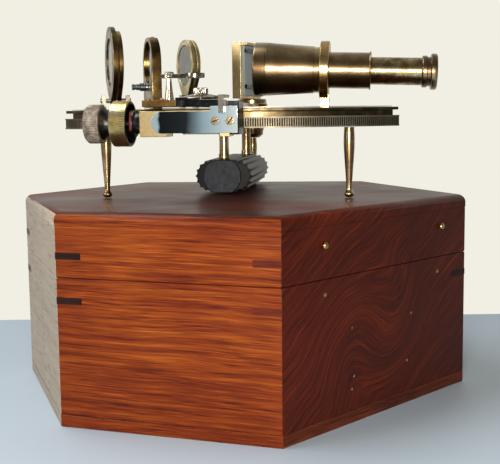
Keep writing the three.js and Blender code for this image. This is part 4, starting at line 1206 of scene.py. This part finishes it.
for i, x in enumerate((10.8, 19.8)):
    tightened = Matrix.Rotation(math.radians(25 + 30 * i), 4, "Z")
    spot = worm_place @ Matrix.Translation((x, -10.7, 1.2)) @ STAND @ tightened
    show_screw(f"spring_screw_{i + 1}", "carriage", spot, 2.5, 0.9, screw_brass, 0.8)

# ---- Worm, drum and thumb wheel: one shaft turned by a knurled, blackened brass wheel ----
# The brass drum is engraved with sixty lines, numbered in fives, read against the sleeve.
DRUM_RADIUS, DRUM_LEFT, DRUM_RIGHT, DRUM_WEB = 14.0, -54.6, -44.2, -49.4
shaft = turned([(0, -61.3), (2.6, -61.3), (2.6, -19.2), (3.6, -12), (7, -11)] + [
    (7 if k % 4 in (1, 2) else 5.9, -11 + 22 * (k + 1) / 60) for k in range(58)
] + [(7, 11), (3.6, 12), (2.6, 13.2), (2.6, 18.9), (0, 18.9)], 40)
show("worm_and_shaft", "micrometer", shaft, worm_place @ ALONG_X, turned_steel,
     ("worm_shaft",), sharp=25)
# Bare engraved brass: pale and even, so that its black lines read clearly.
drum_brass = metal_finish("pale_engraved_drum_brass", ("#93814f", "#b4a068", "#cebd8b", "#e8debb"), 0.28,
                          wear=0.2)
drum = turned([
    (2.9, DRUM_LEFT), (DRUM_RADIUS - 0.5, DRUM_LEFT), (DRUM_RADIUS, DRUM_LEFT + 0.4),
    (DRUM_RADIUS, DRUM_RIGHT - 0.3), (DRUM_RADIUS - 0.3, DRUM_RIGHT), (DRUM_RADIUS - 1.4, DRUM_RIGHT),
    (DRUM_RADIUS - 2, DRUM_WEB), (2.9, DRUM_WEB), (2.9, DRUM_LEFT),
], 96)
show("engraved_drum", "micrometer", drum, worm_place @ ALONG_X, drum_brass,
     ("micrometer_drum",))
divisions = []
for minute in range(60):
    round_drum = Matrix.Rotation(math.radians(6 * minute), 4, "X")
    reach = 4.6 if minute % 5 == 0 else 2.8
    cut = rectangle(DRUM_RIGHT - 0.5 - reach, DRUM_RIGHT - 0.5, -0.17, 0.17)
    divisions.append(moved(plate([cut], DRUM_RADIUS - 0.05, DRUM_RADIUS + 0.02), round_drum))
    if minute % 5 == 0:
        spot = round_drum @ Matrix.Translation((DRUM_LEFT + 2.6, 0, DRUM_RADIUS - 0.005))
        divisions.append(digits(str(minute), FIGURE_HEIGHT, spot @ Matrix.Rotation(math.radians(90), 4, "Z")))
show("drum_divisions", "micrometer", gather(*divisions), worm_place, engraver_black)
# A black lining over the drum's hollow right face: painted shade in the recess.
drum_hollow_shade_lining = turned([
    (2.9, DRUM_WEB), (12.0, DRUM_WEB), (12.6, DRUM_RIGHT - 0.2), (13.4, DRUM_RIGHT - 0.1),
    (13.4, DRUM_RIGHT + 0.04), (12.3, DRUM_RIGHT + 0.04), (11.6, DRUM_WEB + 0.4), (2.9, DRUM_WEB + 0.4),
    (2.9, DRUM_WEB),
], 96)
show("drum_hollow_painted_shade", "micrometer", drum_hollow_shade_lining, worm_place @ ALONG_X, black_brass)
# Bronzed knurling worn by fingers: a soft grey brown with no clear glints.
taupe_brass = metal_finish("worn_bronzed_knurling", ("#4f473d", "#70665a", "#8e8376", "#aba091"), 0.5,
                           patch=6.0, wear=0.5, metallic=0.75)
wheel = knurled([(0, -72), (10.4, -72), (10.8, -71.8), (12, -70.5), (12, -62.6), (11.3, -61.9), (9, -61.8),
                 (0, -61.8)], 70, 0.35, (3, 4))
show("knurled_thumb_wheel", "micrometer", wheel, worm_place @ ALONG_X, taupe_brass,
     ("thumb_wheel",), sharp=40)
neck = turned([(0, -61.7)] + eased([(10.0, -61.7), (7.8, -59.4), (7.0, -57.4), (6.6, -54.9)]) + [(0, -54.9)])
show("thumb_wheel_neck", "micrometer", neck, worm_place @ ALONG_X, black_brass)

# ---- Horizon mirror: silvered glass in a brass frame, round at the top and straight to its foot ----
# The frame is sawn from plate, bored for the glass and screwed to the casting. A stepped steel
# adjusting screw stands out behind it, and a copper one beside its foot.
HORIZON_PLACE, HORIZON_TURN = (-63.6, -70, 90.6), 23.3
FRAME_TOP = 56.7
horizon = seat(sextant, HORIZON_PLACE, HORIZON_TURN)
# The rims are dark brown with gold glints, and the flats ivory grey and matt: painted shade on the rims and a
# painted sheen on the flats of one brass.
rim_shade_brass = metal_finish("brass_rim_with_painted_shade", ("#2e2312", "#4f3d20", "#735c33", "#a08a55"), 0.28,
                           patch=10.0)
flat_sheen_brass = metal_finish("brass_flat_with_painted_sheen", ("#6d675a", "#938c7c", "#b3ac9b", "#cfc9b9"), 0.4, patch=9.0,
                           wear=0.3)


def two_toned(shape):
    """Gives the flats of a plate its first finish and its rims the second: light and shade painted by the way
    each face points.
    """
    shape.normal_update()
    for face in shape.faces:
        # flats and rims take two colours by their facing: painted light and shade
        face.material_index = int(abs(face.normal.z) < 0.7)


foot = FRAME_TOP + GAP - HORIZON_PLACE[2]
RING_RADIUS, RING_BORE, RING_HALF = 18.0, 15.2, 3.5
half_turn = [math.pi * i / 48 for i in range(49)]
crown = [(RING_RADIUS * math.cos(a), RING_RADIUS * math.sin(a)) for a in half_turn]
ring = plate([crown + [(-RING_RADIUS, foot), (RING_RADIUS, foot)], circle(RING_BORE, 72)], -RING_HALF,
             RING_HALF, 0.5)
two_toned(ring)
made = show("horizon_mirror_ring", "sextant", ring, horizon @ UPRIGHT_YZ, flat_sheen_brass,
            ("horizon_mirror_frame",))
made.data.materials.append(rim_shade_brass)
glass = turned([(0, -1.2), (14.6, -1.2), (14.9, -0.9), (14.9, 1.1), (14.6, 1.4), (0, 1.4)], 64)
show("horizon_mirror_pane", "sextant", glass, horizon @ ALONG_X, mirror_silver,
     ("horizon_mirror_glass",), 0.0)
stepped = turned([(0, -15), (1.9, -15), (2.2, -14.7), (2.2, -13.2), (1.8, -13), (1.8, -12.2), (2.2, -12),
                  (2.2, -9.6), (2.9, -9.2), (2.9, -3.8), (0, -3.8)], 32)
show("stepped_adjusting_screw", "sextant", stepped, horizon @ Matrix.Translation((0, 0, -17.2)) @ ALONG_X,
     turned_steel, ("horizon_adjusting_screw",), 0.1)
for i, turn in enumerate((-14, 0, 14)):
    over = Matrix.Rotation(math.radians(turn), 4, "X")
    spot = horizon @ over @ Matrix.Translation((0.4, 0, RING_RADIUS - 0.2))
    show_screw(f"ring_edge_screw_{i + 1}", "sextant", spot, 0.9, 0.8, bright_nickel, 0.3)
copper_end = horizon @ Matrix.Translation((3.6, -1.5, foot + 14)) @ ALONG_X
show_screw("copper_adjusting_screw", "sextant", copper_end, 2.4, 1.8, copper_finish)

# ---- Shades: neutral glasses in flat brass frames that turn down beside their clevis pins ----
# The frames are sawn from plate, and the glasses are held in them by burnishing.
# Each set has its pin's place, its turn, its clevis's half width and its shades. Each shade has its
# place on the pin, its frame's radius, its pane's radius, its rise above the pin and its half thickness.
SHADE_PIN_Z = 64.0
SHADE_TAIL = 3.0
HORIZON_SHADES = ((-90.4, -73), 22.5, 10.0, [(-2.1, 25.0, 17.0, 27.4, 1.8), (2.1, 22.8, 16.4, 26.6, 1.5)])
INDEX_SHADES = ((-41.5, -47), 30.0, 6.5, [(-1.9, 18.6, 14.8, 25.6, 1.3), (1.9, 18.4, 14.8, 25.6, 1.3)])
# Straw lacquer is pale and even. The horizon shades' flats are greyer and duller, a painted sheen.
straw_brass = metal_finish("straw_lacquered_brass", ("#a39770", "#bfb389", "#d6caa1", "#e9e0bf"), 0.35,
                           patch=9.0, wear=0.3)
shade_flat_sheen_brass = metal_finish("shade_flat_with_painted_sheen", ("#5f594e", "#827b6e", "#a09889", "#bbb4a5"), 0.38,
                          patch=9.0, wear=0.3)
# Smoked glass: grey green, half clear, with a film of handling.
smoked, tree, shader = new_finish("smoked_shade_glass")
place = add_node(tree, "ShaderNodeTexCoord")
film = add_node(tree, "ShaderNodeTexNoise", {
    "Vector": place.outputs["Object"], "Scale": 120.0, "Detail": 5.0,
})
tree.links.new(fade(tree, film.outputs["Fac"], (0.3, "#8e9490"), (0.7, "#b4b9b4")),
               shader.inputs["Base Color"])
smear = add_node(tree, "ShaderNodeMapRange", {"Value": film.outputs["Fac"], "To Min": 0.03, "To Max": 0.16})
tree.links.new(smear.outputs["Result"], shader.inputs["Roughness"])
shader.inputs["Transmission Weight"].default_value = 0.75
shader.inputs["IOR"].default_value = 1.52


def teardrop(radius, rise, steps=56):
    """A round frame drawn in to a small round tail at the pin."""
    lean = math.asin((radius - SHADE_TAIL) / rise)
    top = [-lean + (math.pi + 2 * lean) * i / steps for i in range(steps + 1)]
    low = [math.pi + lean + (math.pi - 2 * lean) * i / 12 for i in range(1, 12)]
    return [(radius * math.cos(a), rise + radius * math.sin(a)) for a in top] + [
        (SHADE_TAIL * math.cos(a), SHADE_TAIL * math.sin(a)) for a in low]


for group_name, (spot, turn, half, shades) in (("horizon", HORIZON_SHADES), ("index", INDEX_SHADES)):
    shade_set = seat(sextant, (*spot, SHADE_PIN_Z), turn)
    low = FRAME_TOP + GAP - SHADE_PIN_Z
    clevis = gather(
        plate([rectangle(-half, half, -2, 2)], low, low + 0.7, 0.1),
        plate([rectangle(-half, -half + 2.6, -3.6, 3.6)], low, 4, 0.3),
        plate([rectangle(half - 2.6, half, -3.6, 3.6)], low, 4, 0.3),
        moved(turned([(0, -half - 1), (1.8, -half - 1), (1.8, half + 1), (0, half + 1)], 24), ALONG_X),
    )
    show(f"{group_name}_clevis_block", "sextant", clevis, shade_set, bright_nickel,
         (f"{group_name}_shade_clevis",), 0.1)
    for i, (at, radius, pane, rise, thick) in enumerate(shades):
        body = f"{group_name}_shade_{i + 1}"
        place = shade_set @ Matrix.Translation((at, 0, 0)) @ UPRIGHT_YZ
        holes = [teardrop(radius, rise), circle(pane, 72, (0, rise)), circle(2.1, 20)]
        faces, rims = (shade_flat_sheen_brass, rim_shade_brass) if group_name == "horizon" else (straw_brass, pale_brass)
        leaf = plate(holes, -thick, thick, 0.3)
        two_toned(leaf)
        made = show(body + "_teardrop", body, leaf, place, faces, (body + "_frame",))
        made.data.materials.append(rims)
        disc = turned([(0, -0.8), (pane - 0.6, -0.8), (pane - 0.3, -0.5), (pane - 0.3, 0.5),
                       (pane - 0.6, 0.8), (0, 0.8)], 64)
        show(body + "_pane", body, disc, place @ Matrix.Translation((0, rise, 0)), smoked,
             (body + "_glass",), 0.0)

# ---- Telescope: a bell mouthed brass tube in a bronze collar on a rising stem ----
# The tube is turned, and was lacquered long ago. The draw tube slides in it and carries the eyepiece.
# The lacquer has gone brown under a clear gloss, and rims and draw tube are rubbed to gold and straw.
COLLAR_X, SIGHT_Y, SIGHT_Z, DROOP = 60.6, -70.0, 83.3, 1.9
collar_place = seat(sextant, (COLLAR_X, SIGHT_Y, SIGHT_Z))
scope = seat(collar_place, lean=DROOP)
scope_brass = metal_finish("browned_telescope_brass", ("#4a3a27", "#69543a", "#857050", "#a8946f"), 0.28,
                           patch=26.0, wear=0.4, lines=0.8, coat=0.6)
gold_rim = metal_finish("rubbed_gold_brass", ("#7a5f35", "#a5874f", "#c3a56b", "#ddc796"), 0.22, patch=12.0,
                        lines=0.6)
BELL_FRONT, BELL_BACK, GROOVE = -49.5, -7.5, -40.8
bell_front = [(16.9, BELL_FRONT), (17.9, BELL_FRONT), (18.3, BELL_FRONT + 0.3), (18.6, BELL_FRONT + 1)]
bell_groove = [(18.6, GROOVE - 0.5), (18.3, GROOVE - 0.25), (18.3, GROOVE + 0.25), (18.6, GROOVE + 0.5)]
bell_side = []
for x in (-34, -28, -22, -16, -11, BELL_BACK):
    bell_side.append((18.6 - 2.2 * ((x - GROOVE) / (BELL_BACK - GROOVE)) ** 0.85, x))
bell_inside = [(11.2, -8), (13.5, -12), (16.9, -42), (16.9, BELL_FRONT)]
tube = turned(bell_front + bell_groove + bell_side + [
    (15.9, -7.2), (15.9, -3.6), (12.6, -3.6), (12.6, 31), (13.2, 31.1), (13.4, 31.4), (13.4, 31.9),
    (13.1, 32.2), (9.8, 32.2), (9.8, 29), (11.2, 28)] + bell_inside, 128)
show("telescope_tube_turned", "telescope", tube, scope @ ALONG_X, scope_brass,
     ("telescope_tube",), 0.0)
collar_ring = turned([
    (13, -3.2), (19.6, -3.2), (20.2, -2.7), (20.2, 2.7), (19.6, 3.2), (13, 3.2), (13, -3.2),
], 96)
collar = gather(
    moved(collar_ring, Matrix.Rotation(math.radians(DROOP), 4, "Y") @ ALONG_X),
    plate([rectangle(-3, 3, -5, 5)], 47 - SIGHT_Z, -17, 0.35),
)
show("telescope_collar_ring", "telescope", collar, collar_place, gold_rim,
     ("telescope_collar",), 0.15)
objective = turned([(0, -47.6), (6, -47.5), (12, -47.1), (16.6, -46.6), (16.6, -44), (0, -43)], 64)
show("objective_lens_ground", "telescope", objective, scope @ ALONG_X, crown_glass,
     ("objective_lens",), 0.0)
draw = turned([(8.2, 16), (9.5, 16), (9.5, 66.8), (9.3, 67), (8.2, 67), (8.2, 16)], 96)
draw_brass = metal_finish("rubbed_draw_tube_brass", ("#5b4a30", "#837050", "#a89670", "#cdbf9a"), 0.22,
                          patch=7.0, wear=0.6, lines=0.6)
show("draw_tube_turned", "draw", draw, scope @ ALONG_X, draw_brass, ("draw_tube",), 0.0)
eyepiece = turned([
    (5, 67.3), (10.6, 67.3), (11, 68), (11, 70.4), (10.7, 70.7), (10.2, 71), (10.2, 73), (11.8, 73.2),
    (12.4, 73.7), (12.5, 74.2), (12.5, 76.4), (12.2, 77.1), (11.6, 77.6), (8.6, 77.6), (7.6, 76.8), (5, 74),
    (5, 67.3)], 96)
show("eyepiece_turned", "draw", eyepiece, scope @ ALONG_X, scope_brass, ("eyepiece",), 0.0)

# ---- Hinges: two brass butt hinges on the far left side, their leaves screwed to the boards ----
# Inside, a shaped mahogany block on the base board holds the sextant's grip when it is stowed.
for side in ("left", "right"):
    for leaf, body in (("case", "case"), ("lid", "lid")):
        dressed_copy(f"{side}_hinge_{leaf}_leaf", body, worn_brass, 0.15)
dressed_copy("stowage_grip_block", "case", dark_mahogany, 0.5)
